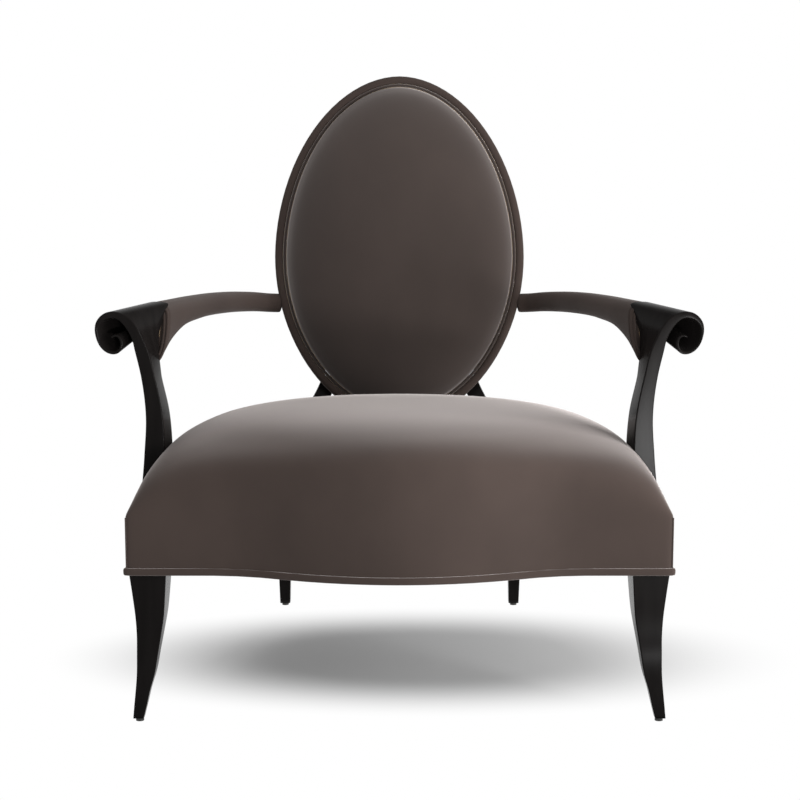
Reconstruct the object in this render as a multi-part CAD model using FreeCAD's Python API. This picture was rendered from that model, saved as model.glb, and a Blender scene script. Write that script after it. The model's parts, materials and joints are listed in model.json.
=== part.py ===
import FreeCAD, Part
import math
import os

# Upholstered lounge armchair with an oval back, a crowned seat with a serpentine front,
# sabre legs and arm posts that roll outward into volutes.
# Millimetres, +Z up. The front faces -Y, and X = 0 is the plane of symmetry.
# Right is the side at +X, which is the right hand of someone who looks at the front.

V = FreeCAD.Vector

# Seat box and crown
seat_front_half = 398.0
seat_rear_half = 214.0
seat_front_y = -346.0
seat_rear_y = 216.0
bow_depth = 55.0
bow_half_share = 0.6935
bow_half_length = bow_half_share * seat_front_half
bow_convex_share = 0.64
hem_z = 213.0
seat_shoulder_z = 300.0
seat_side_shoulder_z = 384.0
seat_rear_shoulder_z = 340.0
seat_crown_z = 429.0
seat_crown_y = -58.0
seat_front_power = 1.6
seat_side_power = 2.33
seat_rear_power = 1.8
seat_corner_radius = 6.0
seat_front_growth = 200.0
seat_rear_corner_radius = 12.0
seat_rear_growth = 90.0
seat_front_corner_limit = 0.55
seat_rear_corner_limit = 0.4
seat_crown_angles = (0, 17, 34, 50, 60, 70, 80)
bow_steps = 10
hollow_steps = 5
corner_steps = 3
side_slope = (seat_front_half - seat_rear_half) / (seat_rear_y - seat_front_y)

# Covers and fits
cover_thickness = 2.0
soft_gap = 0.3
wood_gap = 0.15
overrun = 4.0
flatness = 0.0001
slight_twist = 0.4

# Hem welt
hem_welt_height = 12.0
hem_welt_proud = 4.5
hem_welt_edge = 2.5

# Rails
rail_bottom_z = 216.0
rail_top_z = 294.0
rail_thickness = 25.0
rail_inset = 2.4

# Front legs
leg_side_inset = 5.0
leg_front_inset = 5.5
leg_outer_x = seat_front_half - leg_side_inset
leg_front_y = seat_front_y + leg_front_inset
leg_top_width = 55.0
leg_top_depth = 72.0
leg_waist = 10.3
leg_toe_forward = 25.0
leg_height_shares = (0.094, 0.175, 0.28, 0.42, 0.555, 0.66, 0.826, 1.0)
leg_width_shares = (0.35, 0.39, 0.48, 0.565, 0.655, 0.745, 0.87, 1.0)
leg_depth_shares = (0.29, 0.36, 0.445, 0.555, 0.667, 0.75, 0.89, 1.0)
leg_waist_shares = (0.71, 0.845, 0.98, 1.0, 1.0, 0.875, 0.485, 0.0)
leg_forward_shares = (0.82, 0.64, 0.42, 0.22, 0.12, 0.06, 0.02, 0.0)
leg_toe_width = 16.0
leg_toe_depth = 17.0
leg_toe_waist_share = 0.57

# Oval back, in its own leaning plane; its lowest point sits just behind the seat
back_half_width = 220.0
back_upper_height = 324.0
back_lower_height = 292.0
back_power = 1.93
back_bottom_z = 348.5
back_bottom_forward = 1.7
back_lean = 13.0
back_lean_rise = math.cos(math.radians(back_lean))
back_lean_run = math.sin(math.radians(back_lean))
back_centre_z = back_bottom_z + back_lower_height * back_lean_rise
back_centre_y = seat_rear_y - back_bottom_forward + back_lower_height * back_lean_run
back_thickness = 35.0
back_outline_steps = 48

# Rear legs
rear_leg_top_share = 0.1986
rear_foot_inset = 7.0
upright_share = 0.5
rear_leg_inset = 3.0
upright_setback = 38.0
rear_leg_top_z = back_centre_z - rear_leg_top_share * back_lower_height
rear_foot_x = seat_rear_half - rear_foot_inset
upright_x = upright_share * back_half_width
rear_seat_y = seat_rear_y - rear_leg_inset
rear_rake = back_centre_y - rear_seat_y + upright_setback
rear_leg_width = 30.0
rear_leg_depth = 37.0
rear_height_shares = (0.104, 0.226, 0.37, 0.452, 0.522, 0.609, 0.696, 0.748, 0.835, 0.922, 1.0)
rear_spread_shares = (0.99, 0.97, 0.943, 0.887, 0.773, 0.536, 0.289, 0.165, 0.052, 0.0, 0.0)
rear_rake_shares = (0.505, 0.267, 0.048, 0.0, 0.057, 0.267, 0.505, 0.69, 0.79, 0.895, 0.99)
rear_width_shares = (0.7, 0.83, 0.97, 1.0, 1.0, 1.0, 1.0, 1.0, 0.97, 0.93, 0.87)
rear_depth_shares = (0.65, 0.81, 0.97, 1.0, 0.97, 0.92, 0.84, 0.81, 0.78, 0.76, 0.7)
rear_foot_width = 18.0
rear_foot_depth = 20.0
rear_foot_rake_share = 0.667

# Foot glides
glide_height = 5.0
glide_radius = 6.0
glide_sides = 16
glide_nail_radius = 1.5
glide_nail_length = 14.0

# Layers of the back, counted from its front plane
ring_front = 4.0
ring_inset = 3.5
ring_width = 44.5
border_lip = 14.0
border_swell = 1.2
border_high_share = 0.6
border_turn_share = 0.2
outside_back_thickness = 3.0
welt_size = 5.2
welt_gap = 0.4
panel_crown = 40.0
panel_power = 2.3
panel_angles = (0, 17, 34, 50, 65, 80)
hessian_thickness = 1.0
webbing_thickness = 1.5
landing_margin = 5.0
rear_welt_size = 4.0
welt_sides = 6

# Back cross rail, inside the oval frame
cross_rail_height = 42.0
cross_rail_share = 0.2432
cross_rail_z = back_centre_z - cross_rail_share * back_lower_height
cross_rail_recess = 8.0

# Webbing
webbing_width = 50.0
seat_straps_long = 6
seat_strap_pitch_x = 62.0
seat_straps_cross = 5
seat_strap_pitch_y = 80.0
seat_strap_first_y = -165.0
strap_inset = 12.0
back_straps_up = 3
back_strap_pitch_x = 84.0
back_straps_cross = 4
back_strap_pitch_z = 112.0
back_strap_first_z = -170.0

# Arm posts and volutes. Inner is the side that faces the sitter and the top of the roll.
post_foot_z = 228.0
post_rise = 358.0
scroll_reach = 103.5
post_front_setback = 101.0
post_depth = 46.0
post_inset = 11.4
post_front_y = seat_front_y + post_front_setback
post_inner_x = seat_front_half - (post_front_setback + post_depth / 2) * side_slope - post_inset
shaft_height_shares = (0.0, 0.2, 0.397, 0.564, 0.732, 0.844)
shaft_front_inner_shares = (0.09, 0.07, 0.03, 0.053, 0.159, 0.255)
shaft_front_outer_shares = (0.415, 0.394, 0.332, 0.298, 0.356, 0.44)
shaft_rear_inner_shares = (0.02, 0.005, -0.03, 0.005, 0.12, 0.163)
shaft_rear_outer_shares = (0.357, 0.337, 0.279, 0.25, 0.298, 0.365)
shoulder_front_inner_shares = ((0.324, 0.891), (0.396, 0.934), (0.488, 0.968), (0.609, 0.992), (0.754, 1.0))
shoulder_front_outer_shares = ((0.469, 0.88), (0.517, 0.912), (0.58, 0.94), (0.662, 0.964), (0.757, 0.973))
shoulder_rear_inner_shares = ((0.159, 0.891), (0.121, 0.936), (0.082, 0.975), (0.135, 1.007), (0.28, 1.017))
shoulder_rear_outer_shares = ((0.3, 0.888), (0.222, 0.919), (0.193, 0.95), (0.213, 0.982), (0.3, 0.993))
roll_height = 64.0
roll_front_inner_shares = ((0.4, 0.406), (0.43, 0.594), (0.211, 0.242), (0.156, 0.219), (0.1, 0.045))
roll_front_outer_shares = ((0.331, 0.333), (0.3375, 0.45), (0.177, 0.177), (0.102, 0.172), (0.075, 0.032))
roll_rear_inner_shares = ((0.36, 0.25), (0.25, 0.266), (0.148, 0.148), (0.1, 0.109), (0.04, 0.02))
roll_rear_outer_shares = ((0.22, 0.148), (0.125, 0.125), (0.1, 0.07), (0.047, 0.047), (0.02, 0.01))
roll_steps = 5

# Seam plane, where the wood of the post meets the arm pad
seam_low_rise = 283.0
seam_low_setback = 55.0
seam_slope = 1.0 / 3.0
seam_low_z = post_foot_z + seam_low_rise
seam_low_y = post_front_y + seam_low_setback

# Arm pads: the middle line of the pad, and its section
arm_front_out = 29.0
arm_front_rise = 347.0
arm_drop = 25.0
arm_end_depth_share = 0.557
arm_front_x = post_inner_x + arm_front_out
arm_front_z = post_foot_z + arm_front_rise
arm_front_y = seam_low_y + (arm_front_z - seam_low_z) * seam_slope
arm_end_fall = (back_centre_z - arm_front_z + arm_drop) / back_lean_rise
arm_end_x = back_half_width * (1 - (arm_end_fall / back_lower_height) ** back_power) ** (1 / back_power)
arm_sweep = arm_front_x - arm_end_x
arm_end_y = back_centre_y - arm_end_fall * back_lean_run + arm_end_depth_share * back_thickness
arm_reach = arm_end_y - arm_front_y
arm_along_shares = (0.07, 0.18, 0.42, 0.64, 0.83, 0.94, 0.985, 1.0)
arm_sweep_shares = (0.02, 0.07, 0.215, 0.395, 0.59, 0.76, 0.88, 1.0)
arm_drop_shares = (0.04, 0.12, 0.36, 0.56, 0.76, 0.9, 0.97, 1.0)
arm_turn_shares = (0.06, 0.11, 0.18, 0.23, 0.33, 0.52, 0.8, 1.0)
arm_narrow_shares = (0.0, 0.0, 0.1, 0.3, 0.55, 0.8, 0.95, 1.0)
bracket_shares = (0.45, 0.07, 0.0, 0.0, 0.0, 0.0, 0.0, 0.0)
arm_lean_shares = (0.5, 0.1, 0.0, 0.0, 0.0, 0.0, 0.0, 0.0)
arm_end_turn = 80.0
arm_width = 46.0
arm_end_width = 33.0
arm_height = 34.0
arm_power = 2.3
arm_section_points = 12
bracket_drop = 50.0
bracket_fall_shares = (0.22, 0.86, 1.0, 0.86, 0.22)
arm_padding_thickness = 5.0
arm_cover_thickness = 1.8
arm_welt_length = 10.0
arm_welt_proud = 2.9
arm_welt_profile_shares = ((0.0, 0.0), (0.6, 0.05), (1.0, 0.25), (0.6, 0.45), (0.3, 0.5),
                           (0.6, 0.55), (1.0, 0.75), (0.6, 0.95), (0.0, 1.0))

# Wood fasteners
bar_sides = 6
dowel_radius = 5.0
dowel_length = 46.0
dowel_spacing_wide = 56.0
dowel_spacing_close = 22.0
ring_dowel_radius = 4.0
ring_dowel_length = 36.0
arm_dowel_radius = 3.5
arm_dowel_length = 24.0
arm_dowel_spacing = 14.0
arm_dowel_inward = 5.0
arm_dowel_fall = 36.0
arm_dowel_x = arm_front_x - arm_dowel_inward
arm_dowel_z = arm_front_z - arm_dowel_fall
bolt_radius = 3.0
bolt_head_radius = 7.0
bolt_head_height = 3.5
post_bolt_length = 52.0
post_bolt_spacing = 34.0
post_bolt_rise = 27.0
back_bolt_bite = 15.0
back_bolt_low_share = 0.661
back_bolt_low_z = back_centre_z - back_bolt_low_share * back_lower_height
arm_bolt_length = 60.0
arm_bolt_bite = 15.0
screw_radius = 2.2
screw_head_radius = 4.2
screw_head_height = 2.6
screw_length = 24.0
screw_grip = 9.0

# Corner blocks
block_reach = 34.0
block_height = 40.0

# Seat layers above and below the rails
seat_hessian_inset = 16.0
dust_cover_thickness = 1.4
dust_cover_inset = 5.0


def mirrored(shape):
    """The same shape on the other side of the plane of symmetry."""
    return shape.mirror(V(0, 0, 0), V(1, 0, 0))


def quarter_point(width, height, quarter, angle):
    """Offset from the start of a quarter of an ellipse; quarters run clockwise from the top."""
    along = math.sin(angle)
    fall = math.cos(angle)
    if quarter == 0:
        return width * along, height * (fall - 1)
    if quarter == 1:
        return width * (fall - 1), -height * along
    if quarter == 2:
        return -width * along, height * (1 - fall)
    return width * (1 - fall), height * along


def prism(wire, rise):
    """A closed flat wire pulled along the vector rise."""
    return Part.Face(wire).extrude(rise)


def ring_from_profile(wire_at, profile):
    """A ring whose section is the closed polygon profile; wire_at gives the ring's line at a corner."""
    wires = [wire_at(*corner) for corner in profile]
    return sewn(strips(wires + wires[:1]))


def patch(a, b, c, d):
    """Faces between four corners: one flat face, two where the twist is slight, else one ruled face."""
    normal = (b - a).cross(d - a).normalize()
    off_plane = abs((c - a).dot(normal))
    if off_plane < flatness:
        return [Part.Face(polygon([a, b, c, d]))]
    if off_plane < slight_twist:
        return [Part.Face(polygon([a, b, c])), Part.Face(polygon([a, c, d]))]
    return [Part.makeRuledSurface(Part.makeLine(a, b), Part.makeLine(d, c))]


def strips(outlines):
    """Faces from each outline to the next, edge by edge."""
    faces = []
    for outline, next_outline in zip(outlines, outlines[1:]):
        for edge, next_edge in zip(outline.Edges, next_outline.Edges):
            a, b = [vertex.Point for vertex in edge.Vertexes]
            d, c = [vertex.Point for vertex in next_edge.Vertexes]
            faces += patch(a, b, c, d)
    return faces


def sewn(faces):
    """A solid from the faces that close it."""
    shape = Part.Compound(faces)
    shape.sewShape()
    shell = Part.Shell(shape.Faces)
    solid = Part.Solid(shell)
    return solid if solid.Volume > 0 else Part.Solid(shell.reversed())


def skinned(outlines):
    """A solid through a row of flat outlines that match edge for edge."""
    return sewn(strips(outlines) + [Part.Face(outlines[0]), Part.Face(outlines[-1])])


# Seat outline

def side_x(y, inset):
    """The seat side's place at depth y, drawn in by inset."""
    return seat_front_half - (y - seat_front_y) * side_slope - inset / math.cos(math.atan(side_slope))


def rounded_corner(before, corner, after, radius):
    """Start, middle and end of the arc that rounds a corner between two straight sides."""
    back = (before - corner).normalize()
    forth = (after - corner).normalize()
    half = back.getAngle(forth) / 2
    inward = (back + forth).normalize()
    start = corner + back * (radius / math.tan(half))
    end = corner + forth * (radius / math.tan(half))
    middle = corner + inward * (radius / math.sin(half) - radius)
    return start, middle, end


def ogee(half_length, depth, front_y, z):
    """The bow's inflection, the middle of its hollow and its end, on the right side."""
    turn = 2 * math.atan(depth / half_length)
    hollow = half_length * (1 - bow_convex_share)
    radius = hollow / math.sin(turn)
    inflection = V(half_length - hollow, front_y - depth * (1 - bow_convex_share), z)
    middle = V(half_length - radius * math.sin(turn / 2), front_y - radius * (1 - math.cos(turn / 2)), z)
    return inflection, middle, V(half_length, front_y, z)


def arc_points(start, middle, end, steps):
    """Even points along an arc, from its start to its end."""
    return Part.Arc(start, middle, end).toShape().discretize(steps + 1)


def polygon(points):
    """A closed outline of straight edges through points."""
    return Part.makePolygon(points + points[:1])


def seat_outline(inset, z, share=1.0, side_share=1.0, rear_share=1.0):
    """The seat's plan at height z: straight tapered sides, a serpentine front, rounded corners.
    The shares draw it in towards the crown at the front, the sides and the rear."""
    front_y = seat_crown_y + (seat_front_y + inset - seat_crown_y) * share
    rear_y = seat_crown_y + (seat_rear_y - inset - seat_crown_y) * rear_share
    front_half = side_x(front_y, inset) * side_share
    rear_half = side_x(rear_y, inset) * side_share
    corner_radius = max(seat_corner_radius - inset, cover_thickness) + seat_front_growth * (1 - share)
    corner_radius = min(corner_radius, seat_front_corner_limit * (rear_y - front_y))
    rear_radius = max(seat_rear_corner_radius - inset, cover_thickness) + seat_rear_growth * (1 - rear_share)
    rear_radius = min(rear_radius, seat_rear_corner_limit * (rear_y - front_y))
    inflection, hollow, bow_end = ogee(bow_half_length * share, bow_depth * share, front_y, z)
    front_corner = V(front_half, front_y, z)
    rear_corner = V(rear_half, rear_y, z)
    a0, a1, a2 = rounded_corner(bow_end, front_corner, rear_corner, corner_radius)
    b0, b1, b2 = rounded_corner(front_corner, rear_corner, V(0, rear_y, z), rear_radius)
    right = [inflection, hollow, bow_end, a0, a1, a2, b0, b1, b2]
    left = [V(-p.x, p.y, p.z) for p in right]
    bow_middle = V(0, front_y - bow_depth * share, z)
    points = arc_points(left[0], bow_middle, right[0], bow_steps)
    points += arc_points(right[0], right[1], right[2], hollow_steps)[1:]
    points += arc_points(right[3], right[4], right[5], corner_steps)
    points += arc_points(right[6], right[7], right[8], corner_steps)
    points += arc_points(left[8], left[7], left[6], corner_steps)
    points += arc_points(left[5], left[4], left[3], corner_steps)
    points += arc_points(left[2], left[1], left[0], hollow_steps)[:-1]
    return polygon(points)


def crown_share(z, shoulder_z, crown_z, power):
    """How much of its reach the crowned top keeps at height z, above its shoulder."""
    climb = max(0, (z - shoulder_z) / (crown_z - shoulder_z))
    return (1 - climb ** power) ** (1 / power)


def seat_crown_wires(inset):
    """Outlines of the crowned top, from the front's shoulder up."""
    crown_z = seat_crown_z - inset
    wires = []
    for degrees in seat_crown_angles:
        climb = math.sin(math.radians(degrees)) ** (2 / seat_front_power)
        z = seat_shoulder_z + (crown_z - seat_shoulder_z) * climb
        share = crown_share(z, seat_shoulder_z, crown_z, seat_front_power)
        side_share = crown_share(z, seat_side_shoulder_z, crown_z, seat_side_power)
        rear_share = crown_share(z, seat_rear_shoulder_z, crown_z, seat_rear_power)
        wires.append(seat_outline(inset, z, share, side_share, rear_share))
    return wires


def seat_form(inset, bottom_z):
    """The seat's whole padded form from bottom_z up, drawn in by inset."""
    return skinned([seat_outline(inset, bottom_z)] + seat_crown_wires(inset))


# Legs

def rectangle(x, y, z, width, depth):
    """A level rectangle about the point x, y at height z."""
    corners = [
        V(x - width / 2, y - depth / 2, z),
        V(x + width / 2, y - depth / 2, z),
        V(x + width / 2, y + depth / 2, z),
        V(x - width / 2, y + depth / 2, z),
    ]
    return polygon(corners)


def front_leg_section(outer_x, front_y, z, width, depth, extra):
    """A level section of the right front leg, whose outer side runs in like the seat's side."""
    rear_outer_x = outer_x - depth * side_slope
    return polygon([
        V(outer_x - width - extra, front_y - extra, z),
        V(outer_x + extra, front_y - extra, z),
        V(rear_outer_x + extra, front_y + depth + extra, z),
        V(outer_x - width - extra, front_y + depth + extra, z),
    ])


def front_leg_form(extra=0.0):
    """The right front leg's sabre form with its block at the top, made larger by extra."""
    toe_x = leg_outer_x - leg_waist * leg_toe_waist_share
    toe_y = leg_front_y - leg_toe_forward
    wires = [front_leg_section(toe_x, toe_y, glide_height, leg_toe_width, leg_toe_depth, extra)]
    rows = zip(leg_height_shares, leg_width_shares, leg_depth_shares, leg_waist_shares, leg_forward_shares)
    for height, wide, deep, waist, forward in rows:
        x = leg_outer_x - leg_waist * waist
        y = leg_front_y - leg_toe_forward * forward
        width = leg_top_width * wide
        wires.append(front_leg_section(x, y, hem_z * height, width, leg_top_depth * deep, extra))
    sabre = Part.makeLoft(wires, True, False)
    block = prism(wires[-1], V(0, 0, rail_top_z - hem_z))
    return sabre.fuse(block).removeSplitter()


def rear_leg_form(extra=0.0):
    """The right rear leg: raked to the floor, upright at the seat, swept in and back behind the oval."""
    foot_y = rear_seat_y + rear_rake * rear_foot_rake_share
    foot_width = rear_foot_width + 2 * extra
    foot_depth = rear_foot_depth + 2 * extra
    wires = [rectangle(rear_foot_x, foot_y, glide_height, foot_width, foot_depth)]
    rows = zip(rear_height_shares, rear_spread_shares, rear_rake_shares, rear_width_shares, rear_depth_shares)
    for height, spread, rake, wide, deep in rows:
        x = upright_x + (rear_foot_x - upright_x) * spread
        y = rear_seat_y + rear_rake * rake
        width = rear_leg_width * wide + 2 * extra
        depth = rear_leg_depth * deep + 2 * extra
        wires.append(rectangle(x, y, rear_leg_top_z * height, width, depth))
    return Part.makeLoft(wires, True, False)


# Oval back

def oval_wire(inset, depth):
    """The oval's outline drawn in by inset, at a depth behind the front plane of the back."""
    points = []
    for i in range(back_outline_steps):
        angle = 2 * math.pi * i / back_outline_steps
        across = math.cos(angle)
        up = math.sin(angle)
        height = (back_upper_height if up >= 0 else back_lower_height) - inset
        x = math.copysign(abs(across) ** (2 / back_power), across) * (back_half_width - inset)
        z = math.copysign(abs(up) ** (2 / back_power), up) * height
        points.append(V(x, depth, z))
    return polygon(points)


def seated_back(shape):
    """Leans a piece made in the upright plane, and sets it in the chair."""
    placed = shape.copy()
    placed.rotate(V(0, 0, 0), V(1, 0, 0), -back_lean)
    placed.translate(V(0, back_centre_y, back_centre_z))
    return placed


def welt_profile(middle_inset, middle_depth, wide, deep):
    """Corners of a cord's section, as insets and depths."""
    turns = [2 * math.pi * i / welt_sides for i in range(welt_sides)]
    return [(middle_inset + wide / 2 * math.cos(t), middle_depth + deep / 2 * math.sin(t)) for t in turns]


def oval_plate(inset, front, rear):
    """A plate of the oval's outline between two depths."""
    return prism(oval_wire(inset, front), V(0, rear - front, 0))


def panel_form(inset, base, crown):
    """The crowned panel: a dome over the oval, square to the back's plane at its edge."""
    edge_points = [vertex.Point for vertex in oval_wire(inset, 0).Vertexes]
    levels = []
    for degrees in panel_angles:
        angle = math.radians(degrees)
        share = math.cos(angle) ** (2 / panel_power)
        depth = base - (crown + base) * math.sin(angle) ** (2 / panel_power)
        levels.append(polygon([V(p.x * share, depth, p.z * share) for p in edge_points]))
    return skinned(levels)


# Arm posts

def seam_y(z):
    """The seam plane's depth at height z."""
    return seam_low_y + (z - seam_low_z) * seam_slope


def scroll_place(share):
    """A point of the post's face, from its reach and height shares."""
    return post_inner_x + share[0] * scroll_reach, post_foot_z + share[1] * post_rise


def rail_line(shaft_shares, shoulder_shares, quarter_shares):
    """One long edge of the post and its roll, as points in the plane of its face."""
    places = [scroll_place(pair) for pair in zip(shaft_shares, shaft_height_shares)]
    places += [scroll_place(share) for share in shoulder_shares]
    for i, (wide, high) in enumerate(quarter_shares):
        x, z = places[-1]
        for step in range(1, roll_steps + 1):
            angle = math.pi / 2 * step / roll_steps
            dx, dz = quarter_point(wide * roll_height, high * roll_height, i % 4, angle)
            places.append((x + dx, z + dz))
    return places


def arm_post_form(gap=0.0):
    """The right arm post: a shaft whose face widens, turns outward and rolls up like a ribbon.
    gap makes it larger all round, as room for its foot."""
    lines = [
        rail_line(shaft_front_inner_shares, shoulder_front_inner_shares, roll_front_inner_shares),
        rail_line(shaft_front_outer_shares, shoulder_front_outer_shares, roll_front_outer_shares),
        rail_line(shaft_rear_outer_shares, shoulder_rear_outer_shares, roll_rear_outer_shares),
        rail_line(shaft_rear_inner_shares, shoulder_rear_inner_shares, roll_rear_inner_shares),
    ]
    rear_y = post_front_y + post_depth
    outlines = []
    for places in zip(*lines):
        corners = []
        for i, (x, z) in enumerate(places):
            side = gap if i in (1, 2) else -gap
            depth = post_front_y - gap if i < 2 else max(rear_y, seam_y(z)) + gap
            foot = gap if not outlines else 0
            corners.append(V(x + side, depth, z - foot))
        outlines.append(polygon(corners))
    ends = [patch(*[vertex.Point for vertex in wire.Vertexes]) for wire in (outlines[0], outlines[-1])]
    return sewn(strips(outlines) + ends[0] + ends[1])


# Arms

def arm_section(place, turn, lean, width, height, drop):
    """The pad's section: a roll, with a bracket that hangs from it by drop."""
    across = V(math.cos(turn), math.sin(turn), 0)
    points = []
    for i in range(arm_section_points):
        angle = 2 * math.pi * i / arm_section_points
        c = math.cos(angle)
        s = math.sin(angle)
        u = math.copysign(abs(c) ** (2 / arm_power), c) * width / 2
        v = math.copysign(abs(s) ** (2 / arm_power), s) * height / 2
        below = i - arm_section_points // 2 - 1
        if 0 <= below < len(bracket_fall_shares):
            v -= drop * bracket_fall_shares[below]
        points.append(place + across * u + V(0, v * lean, v))
    return polygon(points)


def arm_stations():
    """Middle point, turn, lean, width and bracket drop of each section of the right arm."""
    front = V(arm_front_x, seam_y(arm_front_z), arm_front_z)
    stations = [(front, 0.0, seam_slope, arm_width, bracket_drop)]
    rows = zip(arm_along_shares, arm_sweep_shares, arm_drop_shares, arm_turn_shares, arm_narrow_shares,
               bracket_shares, arm_lean_shares)
    for along, sweep, drop, turn, narrow, bracket, lean in rows:
        place = front + V(-arm_sweep * sweep, arm_reach * along, -arm_drop * drop)
        width = arm_width + (arm_end_width - arm_width) * narrow
        angle = math.radians(arm_end_turn) * turn
        stations.append((place, angle, seam_slope * lean, width, bracket_drop * bracket))
    return stations


def arm_form(inset, front_gap=0.0):
    """The right arm from the seam plane to the oval, drawn in by inset all round."""
    wires = []
    for place, turn, lean, width, drop in arm_stations():
        if not wires:
            place = place + V(0, front_gap, 0)
        wires.append(arm_section(place, turn, lean, width - 2 * inset, arm_height - 2 * inset, drop))
    return skinned(wires)


def arm_front_wire(proud, length_share):
    """The arm's section near its front end, made larger by proud.
    length_share tells how far behind the seam it lies, in lengths of the welt."""
    here, there = arm_stations()[:2]
    t = (soft_gap + arm_welt_length * length_share) / (there[0].y - here[0].y)
    place, turn, lean, width, drop = [a + (b - a) * t for a, b in zip(here, there)]
    return arm_section(place, turn, lean, width + 2 * proud, arm_height + 2 * proud, drop)


def arm_welt_form():
    """The double welt round the front end of the right arm: two cords side by side."""
    profile = [(soft_gap + arm_welt_proud * out, along) for out, along in arm_welt_profile_shares]
    return ring_from_profile(arm_front_wire, profile)


# Frame

def side_directions():
    """Unit vectors along the right side towards the rear, and outward from it."""
    along = V(seat_rear_half - seat_front_half, seat_rear_y - seat_front_y, 0).normalize()
    return along, V(along.y, -along.x, 0)


def plan_prism(corners, bottom, top):
    """A straight block on a polygon of plan points."""
    points = [V(x, y, bottom) for x, y in corners]
    return prism(polygon(points), V(0, 0, top - bottom))


def bar(radius, start, direction, length, sides=bar_sides):
    """A many-sided bar from start along direction; its corners lie at radius."""
    level = V(0, 0, 1) if abs(direction.z) < abs(direction.x) + abs(direction.y) else V(1, 0, 0)
    first = direction.cross(level).normalize() * radius
    second = direction.cross(first)
    turns = [2 * math.pi * i / sides for i in range(sides)]
    points = [start + first * math.cos(turn) + second * math.sin(turn) for turn in turns]
    return prism(polygon(points), direction * length)


def serpentine_rail():
    """The front rail between the leg blocks, with the bow on both faces."""
    end_x = leg_outer_x - leg_top_width - wood_gap
    faces_y = (seat_front_y + rail_inset, seat_front_y + rail_inset + rail_thickness)
    lines = []
    for y in faces_y:
        inflection, hollow, bow_end = ogee(bow_half_length, bow_depth, y, rail_bottom_z)
        right = [inflection, hollow, bow_end, V(end_x, y, rail_bottom_z)]
        left = [V(-p.x, p.y, p.z) for p in right]
        lines.append([
            Part.makeLine(left[3], left[2]),
            Part.Arc(left[2], left[1], left[0]).toShape(),
            Part.Arc(left[0], V(0, y - bow_depth, rail_bottom_z), right[0]).toShape(),
            Part.Arc(right[0], right[1], right[2]).toShape(),
            Part.makeLine(right[2], right[3]),
        ])
    right_end = Part.makeLine(V(end_x, faces_y[0], rail_bottom_z), V(end_x, faces_y[1], rail_bottom_z))
    left_end = Part.makeLine(V(-end_x, faces_y[1], rail_bottom_z), V(-end_x, faces_y[0], rail_bottom_z))
    wire = Part.Wire(lines[0] + [right_end] + lines[1][::-1] + [left_end])
    return prism(wire, V(0, 0, rail_top_z - rail_bottom_z))


def side_rail():
    """The right side rail, from the front leg's block to the rear leg."""
    front_y = leg_front_y + leg_top_depth + wood_gap
    rear_y = rear_seat_y - rear_leg_depth / 2 - wood_gap
    inner = rail_inset + rail_thickness
    corners = [
        (side_x(front_y, rail_inset), front_y),
        (side_x(rear_y, rail_inset), rear_y),
        (side_x(rear_y, inner), rear_y),
        (side_x(front_y, inner), front_y),
    ]
    return plan_prism(corners, rail_bottom_z, rail_top_z)


def rear_rail_form():
    """The rear rail, between the rear legs."""
    rear_y = seat_rear_y - rail_inset
    front_y = rear_y - rail_thickness
    half = upright_x + (rear_foot_x - upright_x) * rear_spread_shares[2] - rear_leg_width / 2
    corners = [(-half, front_y), (half, front_y), (half, rear_y), (-half, rear_y)]
    return plan_prism(corners, rail_bottom_z, rail_top_z)


def corner_blocks():
    """The right side's front and rear corner blocks, in the angles of the rails."""
    middle_z = (rail_bottom_z + rail_top_z) / 2
    low = middle_z - block_height / 2
    high = middle_z + block_height / 2
    inner = rail_inset + rail_thickness + wood_gap
    front_y = seat_front_y + inner
    leg_x = leg_outer_x - leg_top_width - wood_gap
    leg_y = leg_front_y + leg_top_depth + wood_gap
    front = plan_prism([
        (leg_x - block_reach, front_y),
        (leg_x, front_y),
        (leg_x, leg_y),
        (side_x(leg_y, inner), leg_y),
        (side_x(leg_y + block_reach, inner), leg_y + block_reach),
    ], low, high)
    rear_y = seat_rear_y - inner
    rear_x = side_x(rear_y, inner)
    rear = plan_prism([
        (side_x(rear_y - block_reach, inner), rear_y - block_reach),
        (rear_x, rear_y),
        (rear_x - block_reach, rear_y),
    ], low, high)
    return front, rear


def screw(face_point, direction):
    """A screw through a block into a rail, met at face_point, and the hole it needs."""
    start = face_point - direction * screw_grip
    head_start = start - direction * screw_head_height
    solid = bar(screw_radius, start, direction, screw_length)
    solid = solid.fuse(bar(screw_head_radius, head_start, direction, screw_head_height))
    hole = bar(screw_radius + wood_gap, start, direction, screw_length + wood_gap)
    bore_start = start - direction * block_reach
    hole = hole.fuse(bar(screw_head_radius + wood_gap, bore_start, direction, block_reach))
    return solid, hole


def block_screws():
    """Screws of the right side's corner blocks, and their holes."""
    outward = side_directions()[1]
    middle_z = (rail_bottom_z + rail_top_z) / 2
    inner = rail_inset + rail_thickness
    front_y = seat_front_y + inner
    rear_y = seat_rear_y - inner
    leg_x = leg_outer_x - leg_top_width
    side_front_y = leg_front_y + leg_top_depth + block_reach / 2
    side_rear_y = rear_y - block_reach / 2
    rear_x = side_x(rear_y, inner) - block_reach / 2
    places = [
        (V(leg_x - block_reach / 2, front_y, middle_z), V(0, -1, 0)),
        (V(side_x(side_front_y, inner), side_front_y, middle_z), outward),
        (V(side_x(side_rear_y, inner), side_rear_y, middle_z), outward),
        (V(rear_x, rear_y, middle_z), V(0, 1, 0)),
    ]
    return [screw(point, direction) for point, direction in places]


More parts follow.
